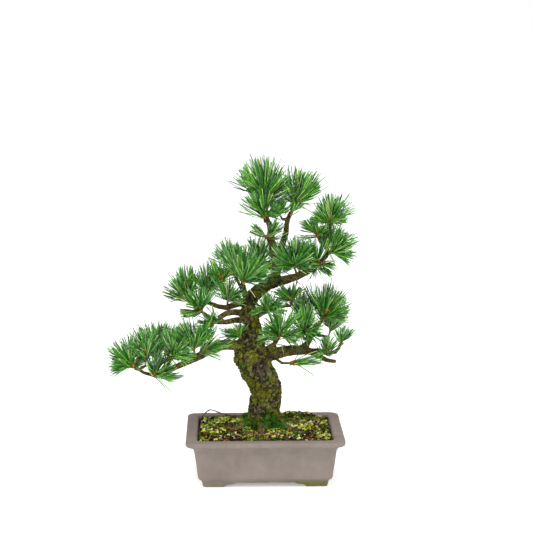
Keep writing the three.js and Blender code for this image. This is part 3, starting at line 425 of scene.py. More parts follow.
def welded(node):
    """The CAD node's points, each once, and its triangles."""
    mesh = nodes[node].data
    places = np.empty(len(mesh.vertices) * 3, np.float32)
    mesh.vertices.foreach_get("co", places)
    mesh.calc_loop_triangles()
    corners = np.empty(len(mesh.loop_triangles) * 3, np.int32)
    mesh.loop_triangles.foreach_get("vertices", corners)
    unique, inverse = np.unique(places.reshape(-1, 3), axis=0, return_inverse=True)
    return unique.astype(float), inverse.ravel()[corners].reshape(-1, 3)


def settle(piece):
    """Applies the piece's modifiers."""
    shown = piece.evaluated_get(bpy.context.evaluated_depsgraph_get())
    mesh = bpy.data.meshes.new_from_object(shown)
    materials = list(piece.data.materials)
    piece.modifiers.clear()
    piece.data = mesh
    mesh.materials.clear()
    for one in materials:
        mesh.materials.append(one)
    mesh.polygons.foreach_set("use_smooth", [True] * len(mesh.polygons))
    return piece


def remeshed(node, name, material, voxel, rounds):
    """A finer, softer copy of a CAD node that stands for it, smoothed that many times."""
    piece = make_object(name, *welded(node), [material])
    grid = piece.modifiers.new("grid", "REMESH")
    grid.mode = "VOXEL"
    grid.voxel_size = voxel
    soft = piece.modifiers.new("soft", "SMOOTH")
    soft.iterations = rounds
    return settle(piece)


def rounded(node, name, material, levels):
    """A copy of a CAD node with its corners rounded by subdivision."""
    piece = make_object(name, *welded(node), [material])
    rounder = piece.modifiers.new("rounder", "SUBSURF")
    rounder.levels = rounder.render_levels = levels
    return settle(piece)


def points_of(mesh, what="co"):
    values = np.empty(len(mesh.vertices) * 3)
    mesh.vertices.foreach_get(what, values)
    return values.reshape(-1, 3)


def normals_of(mesh):
    return points_of(mesh, "normal")


def move_points(mesh, places):
    mesh.vertices.foreach_set("co", places.ravel())
    mesh.update()


def push_out(mesh, distances):
    """Moves every point along its normal."""
    move_points(mesh, points_of(mesh) + normals_of(mesh) * distances[:, None])


def attribute(mesh, name, values):
    layer = mesh.attributes.new(name, "FLOAT", "POINT")
    layer.data.foreach_set("value", np.asarray(values, np.float32))


def surface_of(piece):
    mesh = piece.data
    return BVHTree.FromPolygons([v.co for v in mesh.vertices], [p.vertices for p in mesh.polygons])


def smoothstep(value, low, high):
    t = np.clip((value - low) / (high - low), 0, 1)
    return t * t * (3 - 2 * t)


def unit(vectors):
    return vectors / np.maximum(np.linalg.norm(vectors, axis=-1, keepdims=True), 1e-12)


CELL_MARGINS = (0.08, 0.06)  # kept free at the sides and at the ends of a cell


def cell_uv(cells, a, b, grid):
    """Places inside the given cells of a grid, in one row. Cells are counted along the grid's rows."""
    columns, rows = grid
    aside, below = CELL_MARGINS
    across = (cells % columns + aside + (1 - 2 * aside) * a) / columns
    up = (cells // columns + below + (1 - 2 * below) * b) / rows
    return np.stack([across, up], axis=-1)


def finish_piece(piece, slot, *stands_for):
    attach(piece, "root")
    if stands_for:
        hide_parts(*stands_for)
    return piece


def rough_noise(place, scale, octaves):
    return noise.fractal(Vector(place) * scale, 1.0, 2.0, octaves)


def relief(places, *layers):
    """A rough surface's height at each place, from layers of noise: (height, scale, octaves)."""
    return np.array([sum(height * rough_noise(p, scale, octaves) for height, scale, octaves in layers)
                     for p in places])


# ---------- pot ----------

POT_VOXEL = 1.35 * MM
SCREEN_EDGE = 0.2 * MM  # width of the bevel on a drain screen's bars


def build_pot():
    piece = remeshed("pot", "clay_pot", clay_look(), POT_VOXEL, 5)
    mesh = piece.data
    push_out(mesh, relief(points_of(mesh), (0.22 * MM, 45, 3), (0.1 * MM, 220, 2)))
    return finish_piece(piece, "clay", "pot")


def build_drains():
    plastic, metal = plastic_look(), wire_look()
    for side in ("left", "right"):
        bars = welded(f"drain_screen_{side}")
        screen = make_object(f"plastic_screen_{side}", *bars, [plastic], smooth=False)
        edges = screen.modifiers.new("edges", "BEVEL")
        edges.width = SCREEN_EDGE
        edges.segments = 2
        edges.limit_method = "ANGLE"
        finish_piece(settle(screen), "screen_plastic", f"drain_screen_{side}")
        clip = rounded(f"screen_clip_{side}", f"wire_clip_{side}", metal, 1)
        finish_piece(clip, "clip_wire", f"screen_clip_{side}")


# ---------- wood ----------

WOOD_VOXEL = 1.0 * MM
PROBE_START = 0.2  # millimetres under the bark, where a probe for the wood's thickness starts
PROBE_REACH = 80 * MM
UNMEASURED = 10 * MM  # thickness where a probe meets nothing
BLUR_ROUNDS = 10  # of the measured thickness
YOUNG, OLD = 6 * MM, 26 * MM  # wood thinner than young has smooth bark, thicker than old has plates

# Heights over the soil between which the moss on the trunk changes.
THINNING = (160 * MM, 20 * MM)
BARE_FROM = (12 * MM, 24 * MM)
BARE_TO = (50 * MM, 30 * MM)
DENSE = (12 * MM, 0)
VIVID = (30 * MM, 4 * MM)


def bark_pattern(place, girth):
    """Height of the bark from -1 to 1, in plates on old wood and nearly smooth on young wood."""
    p = Vector((place[0], place[1], place[2] * 0.75))
    p += noise.noise_vector(p * 110) * 2.6 * MM
    near, second = noise.voronoi(p * 150)[0][:2]
    plates = min((second - near) * 3.0, 1.0)
    lumps = noise.fractal(p * 95, 0.9, 2.1, 4)
    grit = noise.fractal(p * 420, 1.0, 2.0, 2)
    return girth * (0.8 * plates - 0.5 + 0.75 * lumps) + 0.28 * grit


def thickness_of(piece):
    """How thick the wood is under each point, measured straight in and evened out."""
    mesh = piece.data
    tree = surface_of(piece)
    thickness = np.empty(len(mesh.vertices))
    for index, (p, n) in enumerate(zip(points_of(mesh), normals_of(mesh))):
        inward = Vector(-n)
        hit = tree.ray_cast(Vector(p) + inward * PROBE_START * MM, inward, PROBE_REACH)
        thickness[index] = hit[3] if hit[3] is not None else UNMEASURED
    edges = np.empty(len(mesh.edges) * 2, np.int32)
    mesh.edges.foreach_get("vertices", edges)
    edges = edges.reshape(-1, 2)
    count = np.bincount(edges.ravel(), minlength=len(thickness)).astype(float)
    for _ in range(BLUR_ROUNDS):
        total = np.zeros(len(thickness))
        np.add.at(total, edges[:, 0], thickness[edges[:, 1]])
        np.add.at(total, edges[:, 1], thickness[edges[:, 0]])
        thickness = 0.5 * thickness + 0.5 * total / np.maximum(count, 1)
    return thickness


def moss_on(places, normals, girth):
    """How much moss grows at each point of the wood, and how vivid a green it has."""
    above = places[:, 2] - soil_high.z
    low_down = smoothstep(above, *THINNING)
    bare = smoothstep(above, *BARE_FROM) * smoothstep(above, *BARE_TO)
    moss = 0.58 + 0.8 * relief(places, (1, 38, 4)) + 0.12 * normals[:, 2]
    moss = moss + 0.2 * girth * low_down - 0.26 * (1 - low_down) - 0.36 * bare
    moss += 0.4 * smoothstep(above, *DENSE)
    vivid = smoothstep(relief(places + 0.3, (1, 60, 3)) + 0.62 * smoothstep(above, *VIVID), 0.14, 0.46)
    return np.clip(moss, 0, 1) * smoothstep(girth, 0.05, 0.4), vivid


def build_wood():
    piece = remeshed("trunk_and_branches", "pine_wood", bark_look(), WOOD_VOXEL, 6)
    mesh = piece.data
    places, normals = points_of(mesh), normals_of(mesh)
    girth = smoothstep(thickness_of(piece), YOUNG, OLD)
    heights = np.array([bark_pattern(p, g) for p, g in zip(places, girth)])
    push_out(mesh, heights * (0.4 + 2.5 * girth) * MM + (1 - girth) * 0.3 * MM)
    moss, vivid = moss_on(places, normals, girth)
    attribute(mesh, "moss", moss)
    attribute(mesh, "vivid", vivid)
    attribute(mesh, "girth", girth)
    # Painted shade for the furrows: darker where the bark is pushed in, on old wood.
    attribute(mesh, "shade_in_furrows", smoothstep(-heights, 0.1, 0.6) * smoothstep(girth, 0.1, 0.5))
    return finish_piece(piece, "bark", "trunk_and_branches"), moss, vivid


# ---------- needles ----------

HEAD_RADIUS = 2.6 * MM  # of a young stem's head, which the bundles leave from
SAME_HEAD = 3 * MM  # bundles whose heads are nearer than this are of one brush
POINT_LENGTHS = (3.5 * MM, 5 * MM)  # from the end of a CAD bundle to the corners of its point
POINT_SLACK = 0.02 * MM
FOOT_SIZE = 3.4 * MM  # round the corner of a shoot nearest to the wood, what counts as its foot

BUNCHES = 2  # of needles, for each bundle of the CAD
NEEDLES = 5  # of a bunch
STRAYS = 3  # needles of a brush that stand out of it and sag
NEEDLE_HALF = (0.5, 0.74)  # half of the least and the most width, in millimetres
NEEDLE_STEPS = np.array([0.0, 0.22, 0.45, 0.7, 0.95, 1.0])
NEEDLE_WIDTHS = np.array([0.6, 0.9, 1.0, 1.0, 0.8, 0.0])  # at these steps, against the whole width
FLAT = 0.25  # how far a needle's outer side stands from its middle line, against its half width

# Radii of a brush's stem, the sheaths of its bundles and its buds, from foot to end.
STEM_RADII = np.array([1.4, 1.5, 1.5, 1.6, 1.75, 1.8, 1.3]) * MM
SHEATH_RADII = np.array([1.0, 1.05, 0.85, 0.45]) * MM
BUD_RADII = np.array([0.9, 1.35, 1.2, 0.7, 0.2]) * MM
SHEATHS = 2  # for each bundle of the CAD
BUDS = 3  # of a brush


def bundles_of(node):
    """The points of a shoot's solid and, for each of its bundles, the root and the end."""
    places, triangles = welded(node)
    near = [set() for _ in places]
    for a, b, c in triangles:
        near[a].update((b, c))
        near[b].update((a, c))
        near[c].update((a, b))
    found = []
    for index, around in enumerate(near):
        if len(around) != 3:
            continue
        ring = list(around)
        gaps = np.linalg.norm(places[ring] - places[index], axis=1)
        if gaps.max() - gaps.min() > POINT_SLACK or not POINT_LENGTHS[0] < gaps.mean() < POINT_LENGTHS[1]:
            continue
        base = set().union(*(near[r] for r in ring)) - set(ring) - {index}
        middle = places[ring].mean(axis=0)
        direction = unit(places[index] - middle)
        root_middle = places[list(base)].mean(axis=0)
        length = (places[index] - root_middle) @ direction
        found.append((places[index] - direction * length, places[index]))
    return places, found


def brushes_of(bundles):
    """The brushes of a shoot, each with its head, its axis, and its bundles as (direction, reach)."""
    groups = []
    for root, end in bundles:
        reach = np.linalg.norm(end - root)
        direction = (end - root) / reach
        head = root - direction * HEAD_RADIUS
        for group in groups:
            if np.linalg.norm(group["head"] - head) < SAME_HEAD:
                group["bundles"].append((direction, reach))
                break
        else:
            groups.append({"head": head, "bundles": [(direction, reach)]})
    for group in groups:
        group["axis"] = unit(sum(direction for direction, _ in group["bundles"]))
    return groups


def across_of(direction):
    """Two directions square to each given one and to each other."""
    helper = np.where(np.abs(direction[..., 2:3]) < 0.9, [[0.0, 0.0, 1.0]], [[1.0, 0.0, 0.0]])
    side = unit(np.cross(helper, direction))
    return side, np.cross(direction, side)


def grow_needles(brush, random):
    """Starts, directions, bends, lengths and outward sides of all needles of a brush."""
    starts, directions, bends, lengths, outs = [], [], [], [], []
    head, axis = brush["head"], brush["axis"]
    for direction, reach in brush["bundles"]:
        for bunch in range(BUNCHES):
            leaning = unit(direction + random.normal(0, 0.17, 3))
            back = random.uniform(-2.0, 9.0) * MM
            foot = head - axis * back + leaning * 1.2 * MM
            side, other = across_of(leaning[None])
            whole = reach * random.uniform(0.88, 1.05) + back * 0.6
            for number in range(NEEDLES):
                turn = (number + random.uniform(-0.2, 0.2)) / NEEDLES * 2 * math.pi + bunch
                out = (side * math.cos(turn) + other * math.sin(turn))[0]
                splay = random.uniform(0.05, 0.24)
                heading = unit(leaning + out * splay)
                inward = axis - heading * (axis @ heading)
                curl = inward * random.uniform(0.05, 0.34) + random.normal(0, 0.06, 3)
                starts.append(foot + out * 0.35 * MM)
                directions.append(unit(heading - curl * 0.5))
                bends.append(curl)
                lengths.append(whole * random.uniform(0.92, 1.04))
                outs.append(out)
    longest = max(reach for _, reach in brush["bundles"])
    for _ in range(STRAYS):
        heading = unit(axis + random.normal(0, 0.55, 3))
        starts.append(head - axis * random.uniform(2, 9) * MM)
        directions.append(heading)
        bends.append(np.array([0, 0, -random.uniform(0.02, 0.22)]) + random.normal(0, 0.05, 3))
        lengths.append(longest * random.uniform(0.85, 1.08))
        outs.append(across_of(heading[None])[0][0])
    return tuple(np.array(rows) for rows in (starts, directions, bends, lengths, outs))


def needle_mesh(needles, random):
    """Points, faces and UV of a crowd of needles: three sides each, a point at the end."""
    starts, directions, bends, lengths, outs = needles
    count = len(starts)
    t = NEEDLE_STEPS[None, :, None]
    reach = lengths[:, None, None]
    centres = starts[:, None] + reach * (directions[:, None] * t + bends[:, None] * t * t)
    tangents = unit(directions[:, None] + 2 * bends[:, None] * t)
    outward = unit(outs[:, None] - tangents * np.sum(outs[:, None] * tangents, axis=2, keepdims=True))
    side = np.cross(tangents, outward)
    half = random.uniform(*NEEDLE_HALF, count)[:, None, None] * MM * NEEDLE_WIDTHS[None, :, None]
    left = centres + side * half + outward * half * FLAT
    right = centres - side * half + outward * half * FLAT
    inner = centres - outward * half * (1 - FLAT)
    rings = np.stack([left, right, inner], axis=2)[:, :-1]
    last = rings.shape[1] - 1
    places = np.concatenate([rings.reshape(count, -1, 3), centres[:, -1:]], axis=1)
    base = np.arange(count)[:, None] * places.shape[1]
    cells = random.integers(0, NEEDLE_COLUMNS * STEM_ROW, count)
    faces, uvs = [], []

    def add(corners, across, along):
        """One face on every needle, with its UV in the needle's cell."""
        faces.extend(map(tuple, np.array(corners)[None] + base))
        uv = cell_uv(cells[:, None], np.array(across)[None], np.array(along)[None], NEEDLE_GRID)
        uvs.append(uv.reshape(-1, 2))

    for step in range(last):
        low, high = step * 3, step * 3 + 3
        for face in range(3):
            after = (face + 1) % 3
            add([low + face, high + face, high + after, low + after],
                (face + np.array([0.04, 0.04, 0.96, 0.96])) / 3,
                NEEDLE_STEPS[[step, step + 1, step + 1, step]])
    for face in range(3):
        low = last * 3
        add([low + face, low + 3, low + (face + 1) % 3],
            (face + np.array([0.04, 0.5, 0.96])) / 3,
            [NEEDLE_STEPS[-2], 1.0, NEEDLE_STEPS[-2]])
    add([0, 1, 2], [0.04, 0.3, 0.3], [0.0, 0.0, 0.02])
    return places.reshape(-1, 3), faces, np.concatenate(uvs)


def tube_mesh(centres, radii, sides, cell):
    """A closed tube through the centres, its UV in one cell of the stem row."""
    centres = np.asarray(centres)
    tangents = unit(np.gradient(centres, axis=0))
    side, _ = across_of(tangents[:1])
    places = []
    for centre, tangent, radius in zip(centres, tangents, radii):
        side = unit(side - tangent * np.sum(side * tangent))
        other = np.cross(tangent, side)
        for corner in range(sides):
            turn = corner / sides * 2 * math.pi
            places.append(centre + (side[0] * math.cos(turn) + other[0] * math.sin(turn)) * radius)
    rings = len(centres)
    places.extend([centres[0], centres[-1]])
    faces, uvs = [], []

    def add(*corners):
        """A face, from its corners as (point, places round the tube, ring)."""
        faces.append(tuple(point for point, _, _ in corners))
        uvs.extend(cell_uv(np.array(cell), around / sides, ring / (rings - 1), NEEDLE_GRID)
                   for _, around, ring in corners)

    for ring in range(rings - 1):
        low, high = ring * sides, (ring + 1) * sides
        for corner in range(sides):
            after = (corner + 1) % sides
            add((low + corner, corner, ring), (low + after, corner + 1, ring),
                (high + after, corner + 1, ring + 1), (high + corner, corner, ring + 1))
    for middle, ring in ((rings * sides, 0), (rings * sides + 1, rings - 1)):
        for corner in range(sides):
            edge = [(ring * sides + corner, corner, ring),
                    (ring * sides + (corner + 1) % sides, corner + 1, ring)]
            if ring == 0:
                edge.reverse()
            add(*edge, (middle, corner + 0.5, ring))
    return np.array(places), faces, np.array(uvs)


class Crowd:
    """Collects small meshes into one."""

    def __init__(self):
        self.places, self.faces, self.uvs, self.kinds, self.count = [], [], [], [], 0

    def add(self, places, faces, uvs, kind=0):
        self.faces.extend(tuple(int(corner) + self.count for corner in face) for face in faces)
        self.places.append(np.asarray(places))
        self.uvs.append(np.asarray(uvs))
        self.kinds.extend([kind] * len(faces))
        self.count += len(places)

    def piece(self, name, materials):
        return make_object(name, np.concatenate(self.places), self.faces, materials, True,
                           np.concatenate(self.uvs), self.kinds)


def foot_of(places, wood_tree):
    """Where a shoot with these points stands on the wood."""
    gaps = np.array([wood_tree.find_nearest(Vector(p))[3] for p in places])
    nearest = places[np.argmin(gaps)]
    return places[np.linalg.norm(places - nearest, axis=1) < FOOT_SIZE].mean(axis=0)


def build_shoot(node, wood_tree, materials, seed):
    random = np.random.default_rng(seed)
    places, bundles = bundles_of(node)
    foot = foot_of(places, wood_tree)
    crowd = Crowd()

    def add_tube(start, way, steps, radii, sides, *cells):
        """A straight tube on the steps of the way, its UV in one of the cells of the stem row."""
        line = [start + way * step for step in steps]
        cell = NEEDLE_COLUMNS * STEM_ROW + int(random.integers(*cells))
        crowd.add(*tube_mesh(line, radii, sides, cell), kind=1)

    for brush in brushes_of(bundles):
        head, axis = brush["head"], brush["axis"]
        crowd.add(*needle_mesh(grow_needles(brush, random), random))
        start = foot - axis * 1.5 * MM
        radii = STEM_RADII * random.uniform(0.9, 1.1, len(STEM_RADII))
        add_tube(start, head - start, np.linspace(0, 1.12, len(STEM_RADII)), radii, 8, TWIG_CELLS)
        for direction, _ in brush["bundles"]:
            for _ in range(SHEATHS):
                leaning = unit(direction + random.normal(0, 0.16, 3))
                root = head - axis * random.uniform(-2, 8) * MM + leaning * 0.6 * MM
                length = random.uniform(3.0, 5.5) * MM
                radii = SHEATH_RADII * random.uniform(0.85, 1.15)
                add_tube(root, leaning * length, (0, 0.4, 0.8, 1.0), radii, 5, TWIG_CELLS, NEEDLE_COLUMNS)
        for _ in range(BUDS):
            leaning = unit(axis + random.normal(0, 0.2, 3))
            length = random.uniform(5, 8) * MM
            radii = BUD_RADII * random.uniform(0.8, 1.1)
            add_tube(head, leaning * length, (0, 0.3, 0.6, 0.85, 1.0), radii, 6, TWIG_CELLS, NEEDLE_COLUMNS)
    piece = crowd.piece(node.replace("needles", "pine_shoot"), materials)
    return finish_piece(piece, "needles", node)


def build_shoots(wood):
    wood_tree = surface_of(wood)
    materials = [needle_look(), young_stem_look()]
    names = sorted(name for name in nodes if name.startswith("needles_"))
    for index, name in enumerate(names):
        build_shoot(name, wood_tree, materials, SHOOT_SEED + index)


# ---------- soil and what lies on it ----------

SOIL_VOXEL = 1.7 * MM
MOSS_VOXEL = 1.0 * MM
SOIL_TOP_FROM = (45 * MM, 55 * MM)  # heights over the table between which the soil gets rough
GRAIN_FLATNESS = 0.75  # height of a grain against its width
NO_WOOD_WITHIN = 12 * MM  # over a place where something may lie
LEAF_THICKNESS = 0.12 * MM
THIRD_TURN = 2.0944
SPIKE_HALF = 0.28 * MM  # from a moss spike's middle to its corners
TRUNK_SPIKE_HALF = 0.3 * MM
FRONDS = 1300  # of a cushion
LITTER = 130  # fallen needles
LITTER_WIDTH = 0.9 * MM
LITTER_MARGIN = 8 * MM  # kept free of them along the pot's wall
LEAFLET_MARGIN = 4 * MM
LETS_ALL_THROUGH = -9  # lower than any noise goes
TUFT_SPREAD = 0.45 * MM  # by which a tuft may stand beside the point that was picked for it


def build_soil():
    piece = remeshed("soil", "potting_soil", soil_look(), SOIL_VOXEL, 3)
    mesh = piece.data
    places, normals = points_of(mesh), normals_of(mesh)
    top = smoothstep(normals[:, 2], 0.3, 0.7) * smoothstep(places[:, 2], *SOIL_TOP_FROM)
    places[:, 2] += top * relief(places, (1.7, 70, 4), (0.8, 300, 2)) * MM
    move_points(mesh, places)
    return finish_piece(piece, "soil_mix", "soil")


def icosphere(level):
    mesh = bmesh.new()
    bmesh.ops.create_icosphere(mesh, subdivisions=level, radius=1.0)
    mesh.verts.ensure_lookup_table()
    places = np.array([v.co for v in mesh.verts])
    faces = np.array([[v.index for v in f.verts] for f in mesh.faces])
    mesh.free()
    return places, faces


def turns(count, random):
    """Random rotation matrices."""
    q = unit(random.normal(size=(count, 4)))
    w, x, y, z = q.T
    return np.stack([
        np.stack([1 - 2 * (y * y + z * z), 2 * (x * y - z * w), 2 * (x * z + y * w)], -1),
        np.stack([2 * (x * y + z * w), 1 - 2 * (x * x + z * z), 2 * (y * z - x * w)], -1),
        np.stack([2 * (x * z - y * w), 2 * (y * z + x * w), 1 - 2 * (x * x + y * y)], -1),
    ], 1)


def scatter(name, places, radii, level, material, slot, random, lumpy):
    """A piece of many uneven, slightly flat grains at the given places."""
    ball, faces = icosphere(level)
    count = len(places)
    shape = ball[None] * (1 + random.uniform(-lumpy, lumpy, (count, len(ball), 1)))
    squash = random.uniform(0.7, 1.15, (count, 1, 3))
    turned = np.einsum("nij,nkj->nki", turns(count, random), shape * squash)
    turned[..., 2] *= GRAIN_FLATNESS
    points = np.asarray(places)[:, None] + turned * np.asarray(radii)[:, None, None]
    all_faces = (faces[None] + (np.arange(count) * len(ball))[:, None, None]).reshape(-1, 3)
    cells = random.integers(0, SMALL_CELLS, count)
    inside = ball[faces][..., :2] * 0.5 + 0.5
    uv = cell_uv(cells[:, None, None], inside[None, ..., 0], inside[None, ..., 1], SMALL_GRID)
    piece = make_object(name, points.reshape(-1, 3), all_faces, [material], False, uv.reshape(-1, 2))
    return finish_piece(piece, slot)


def drop_points(count, trees, random, margin, keep=lambda x, y: True):
    """Places on the soil, straight down from above, that no wood covers."""
    grounds, wood_tree = trees
    down = Vector((0, 0, -1))
    found = []
    while len(found) < count:
        x = random.uniform(soil_low.x + margin, soil_high.x - margin)
        y = random.uniform(soil_low.y + margin, soil_high.y - margin)
        if not keep(x, y):
            continue
        above = Vector((x, y, soil_high.z + 30 * MM))
        hits = [tree.ray_cast(above, down)[0] for tree in grounds]
        tops = [hit.z for hit in hits if hit is not None]
        if not tops:
            continue
        top = Vector((x, y, max(tops)))
        over = top + Vector((0, 0, NO_WOOD_WITHIN))
        if wood_tree.ray_cast(over, down, NO_WOOD_WITHIN)[0] is None:
            found.append(tuple(top))
    return np.array(found)


BLADE_STEPS = 3


def blade(length, width, lean, bend, turn):
    """Points of a leaf that starts upright at the origin and bows over."""
    rows = []
    for step in range(BLADE_STEPS + 1):
        t = step / BLADE_STEPS
        half = width * math.sin(math.pi * (0.12 + 0.83 * t)) / 2
        out = length * (lean * t + bend * t * t)
        up = length * t * math.sqrt(max(1 - lean * lean, 0)) * (1 - 0.5 * bend * t)
        rows.append(((out, -half, up), (out, 0, up - half * 0.5), (out, half, up)))
    points = np.array(rows).reshape(-1, 3)
    c, s = math.cos(turn), math.sin(turn)
    return points @ np.array([[c, s, 0], [-s, c, 0], [0, 0, 1]])


def blade_faces():
    """The faces of a blade, and across and up its cell each corner's place."""
    faces, a, b = [], [], []
    for step in range(BLADE_STEPS):
        low_end, high_end = step / BLADE_STEPS, (step + 1) / BLADE_STEPS
        for strip in range(2):
            corner = step * 3 + strip
            faces.append((corner, corner + 1, corner + 4, corner + 3))
            a.append((strip / 2, (strip + 1) / 2, (strip + 1) / 2, strip / 2))
            b.append((low_end, low_end, high_end, high_end))
    return faces, np.array(a), np.array(b)


def leaves_piece(name, leaves, material, slot, random):
    faces, a, b = blade_faces()
    crowd = Crowd()
    for points in leaves:
        cell = int(random.integers(SMALL_CELLS))
        crowd.add(points, faces, cell_uv(np.full(a.shape, cell), a, b, SMALL_GRID).reshape(-1, 2))
    piece = crowd.piece(name, [material])
    thick = piece.modifiers.new("thick", "SOLIDIFY")
    thick.thickness = LEAF_THICKNESS
    return finish_piece(settle(piece), slot)


def spikes_piece(name, roots, directions, lengths, material, slot, random, half=SPIKE_HALF):
    """Short three-sided points that grow from a surface, such as moss."""
    side, other = across_of(directions)
    count = len(roots)
    halves = half * random.uniform(0.7, 1.3, count)[:, None]
    corners = [roots + (side * math.cos(turn) + other * math.sin(turn)) * halves
               for turn in (0, THIRD_TURN, 2 * THIRD_TURN)]
    tips = roots + directions * lengths[:, None]
    places = np.stack([*corners, tips], axis=1).reshape(-1, 3)
    base = np.arange(count)[:, None] * 4
    spike = ((0, 1, 3), (1, 2, 3), (2, 0, 3), (2, 1, 0))
    faces = np.concatenate([np.array([face]) + base for face in spike])
    cells = random.integers(0, SMALL_CELLS, count)[:, None]
    rows = [([corner / 3, (corner + 1) / 3, (corner + 0.5) / 3], [0.0, 0.0, 1.0]) for corner in range(3)]
    rows.append(([0.9, 0.1, 0.5], [0.0, 0.0, 0.1]))
    uvs = [cell_uv(cells, np.array([a]), np.array([b]), SMALL_GRID).reshape(-1, 2) for a, b in rows]
    piece = make_object(name, places, faces, [material], False, np.concatenate(uvs))
    return finish_piece(piece, slot)


def tufts_on(piece, weights, count, random):
    """Random places on a mesh, with their normals, where the weight of a point is high."""
    mesh = piece.data
    places, normals = points_of(mesh), normals_of(mesh)
    chance = weights / weights.sum()
    picked = random.choice(len(places), count, p=chance)
    return places[picked] + random.normal(0, TUFT_SPREAD, (count, 3)), normals[picked]


def build_cushions(random):
    """The moss cushions, with short fronds all over them."""
    blades = leaf_look("moss_blades", even((36, 60, 6), (90, 126, 20), (158, 180, 52)),
                       (172, 186, 76), (0.7, 0.9))
    mossy = moss_look()
    cushions = []
    for node in ("moss_front_left", "moss_front_right", "moss_right", "moss_back_right"):
        cushion = remeshed(node, node.replace("moss", "moss_cushion"), mossy, MOSS_VOXEL, 3)
        mesh = cushion.data
        places, normals = points_of(mesh), normals_of(mesh)
        height = relief(places, (1.6, 110, 3), (0.5, 420, 2))
        push_out(mesh, height * np.clip(normals[:, 2], 0, 1) * MM)
        thick = smoothstep(relief(places, (1, 90, 3)), -0.1, 0.2)
        weights = (np.clip(normals_of(mesh)[:, 2], 0, 1) ** 2) * thick + 1e-6
        roots, up = tufts_on(cushion, weights, FRONDS, random)
        directions = unit(up + random.normal(0, 0.45, up.shape))
        spikes_piece(node.replace("moss", "moss_fronds"), roots, directions,
                     random.uniform(0.9, 2.4, len(roots)) * MM, blades, "moss", random)
        cushions.append(finish_piece(cushion, "moss", node))
    return cushions


def patches(random, scale, lowest, shift):
    """Lets places through where a noise is over its lowest value, with a ragged edge."""
    return lambda x, y: rough_noise((x + shift, y, 0), scale, 3) + random.uniform(-0.25, 0.25) > lowest


def scatter_grains(trees, random):
    """Crumbs of soil, clumps of moss and grains of pumice."""
    anywhere = patches(random, 30, LETS_ALL_THROUGH, 0)
    brown = grain_look("soil_crumbs", [(0.0, (16, 9, 4)), (0.45, (42, 25, 12)), (0.8, (88, 56, 28)),
                                       (1.0, (146, 100, 56))], (10, 6, 3))
    cream = grain_look("pumice", even((176, 160, 112), (216, 208, 162), (236, 232, 202)), (150, 132, 92))
    lime = grain_look("lime_moss", [(0.0, (118, 138, 12)), (0.4, (176, 198, 34)), (0.75, (208, 220, 84)),
                                    (1.0, (236, 238, 166))], (84, 104, 8))
    green = grain_look("green_moss", even((30, 66, 6), (74, 122, 16), (122, 160, 36)), (20, 44, 4))
    for name, slot, count, margin, keep, radii_mm, level, material, lumpy in (
            ("soil_crumbs", "soil_mix", 4200, 2, anywhere, (0.7, 2.1), 1, brown, 0.35),
            ("lime_clumps", "moss", 560, 3, patches(random, 34, 0.12, 0.2), (0.9, 2.6), 1, lime, 0.35),
            ("green_clumps", "moss", 520, 3, patches(random, 38, 0.1, 0.7), (0.8, 2.2), 1, green, 0.35),
            ("pumice_grains", "soil_mix", 130, 4, anywhere, (0.9, 2.4), 2, cream, 0.14)):
        spots = drop_points(count, trees, random, margin * MM, keep)
        radii = random.uniform(*radii_mm, count) * MM
        spots[:, 2] += radii * 0.4
        scatter(name, spots, radii, level, material, slot, random, lumpy)


def lay_leaflets(trees, random):
    """Tufts of small leaves, pale and green."""
    for name, count, keep, sizes_mm, wide, stops, tip in (
            ("pale_leaflets", 170, patches(random, 26, 0.08, 0.2), (1.6, 3.2), 0.7,
             [(0.0, (92, 124, 14)), (0.4, (156, 184, 36)), (0.75, (190, 208, 80)), (1.0, (222, 228, 150))],
             (206, 220, 116)),
            ("green_leaflets", 300, patches(random, 32, 0.0, 0.7), (1.3, 2.6), 0.6,
             even((20, 52, 6), (58, 116, 16), (110, 162, 34)), (128, 172, 52))):
        leaves = []
        for x, y, z in drop_points(count, trees, random, LEAFLET_MARGIN, keep):
            size = random.uniform(*sizes_mm) * MM
            for _ in range(int(random.integers(4, 8))):
                turn = random.uniform(0, 2 * math.pi)
                length = size * random.uniform(0.8, 1.1)
                one = blade(length, size * wide, random.uniform(0.2, 0.8), 0.45, turn)
                leaves.append(one + np.array([x, y, z + random.uniform(-0.2, 1.6) * MM]))
        leaves_piece(name, leaves, leaf_look(name, stops, tip), "moss", random)


def lay_litter(trees, random):
    """Fallen needles, nearly flat on the soil."""
    litter = []
    for x, y, z in drop_points(LITTER, trees, random, LITTER_MARGIN):
        length = random.uniform(8, 20) * MM
        fallen = blade(length, LITTER_WIDTH, 0.995, 0.0, random.uniform(0, 2 * math.pi))
        litter.append(fallen + np.array([x, y, z + random.uniform(0.8, 2.2) * MM]))
    tan = leaf_look("needle_litter", even((84, 46, 22), (136, 86, 44), (172, 130, 76)),
                    (184, 142, 90), (0.6, 0.8))
    leaves_piece("needle_litter", litter, tan, "dry_root", random)


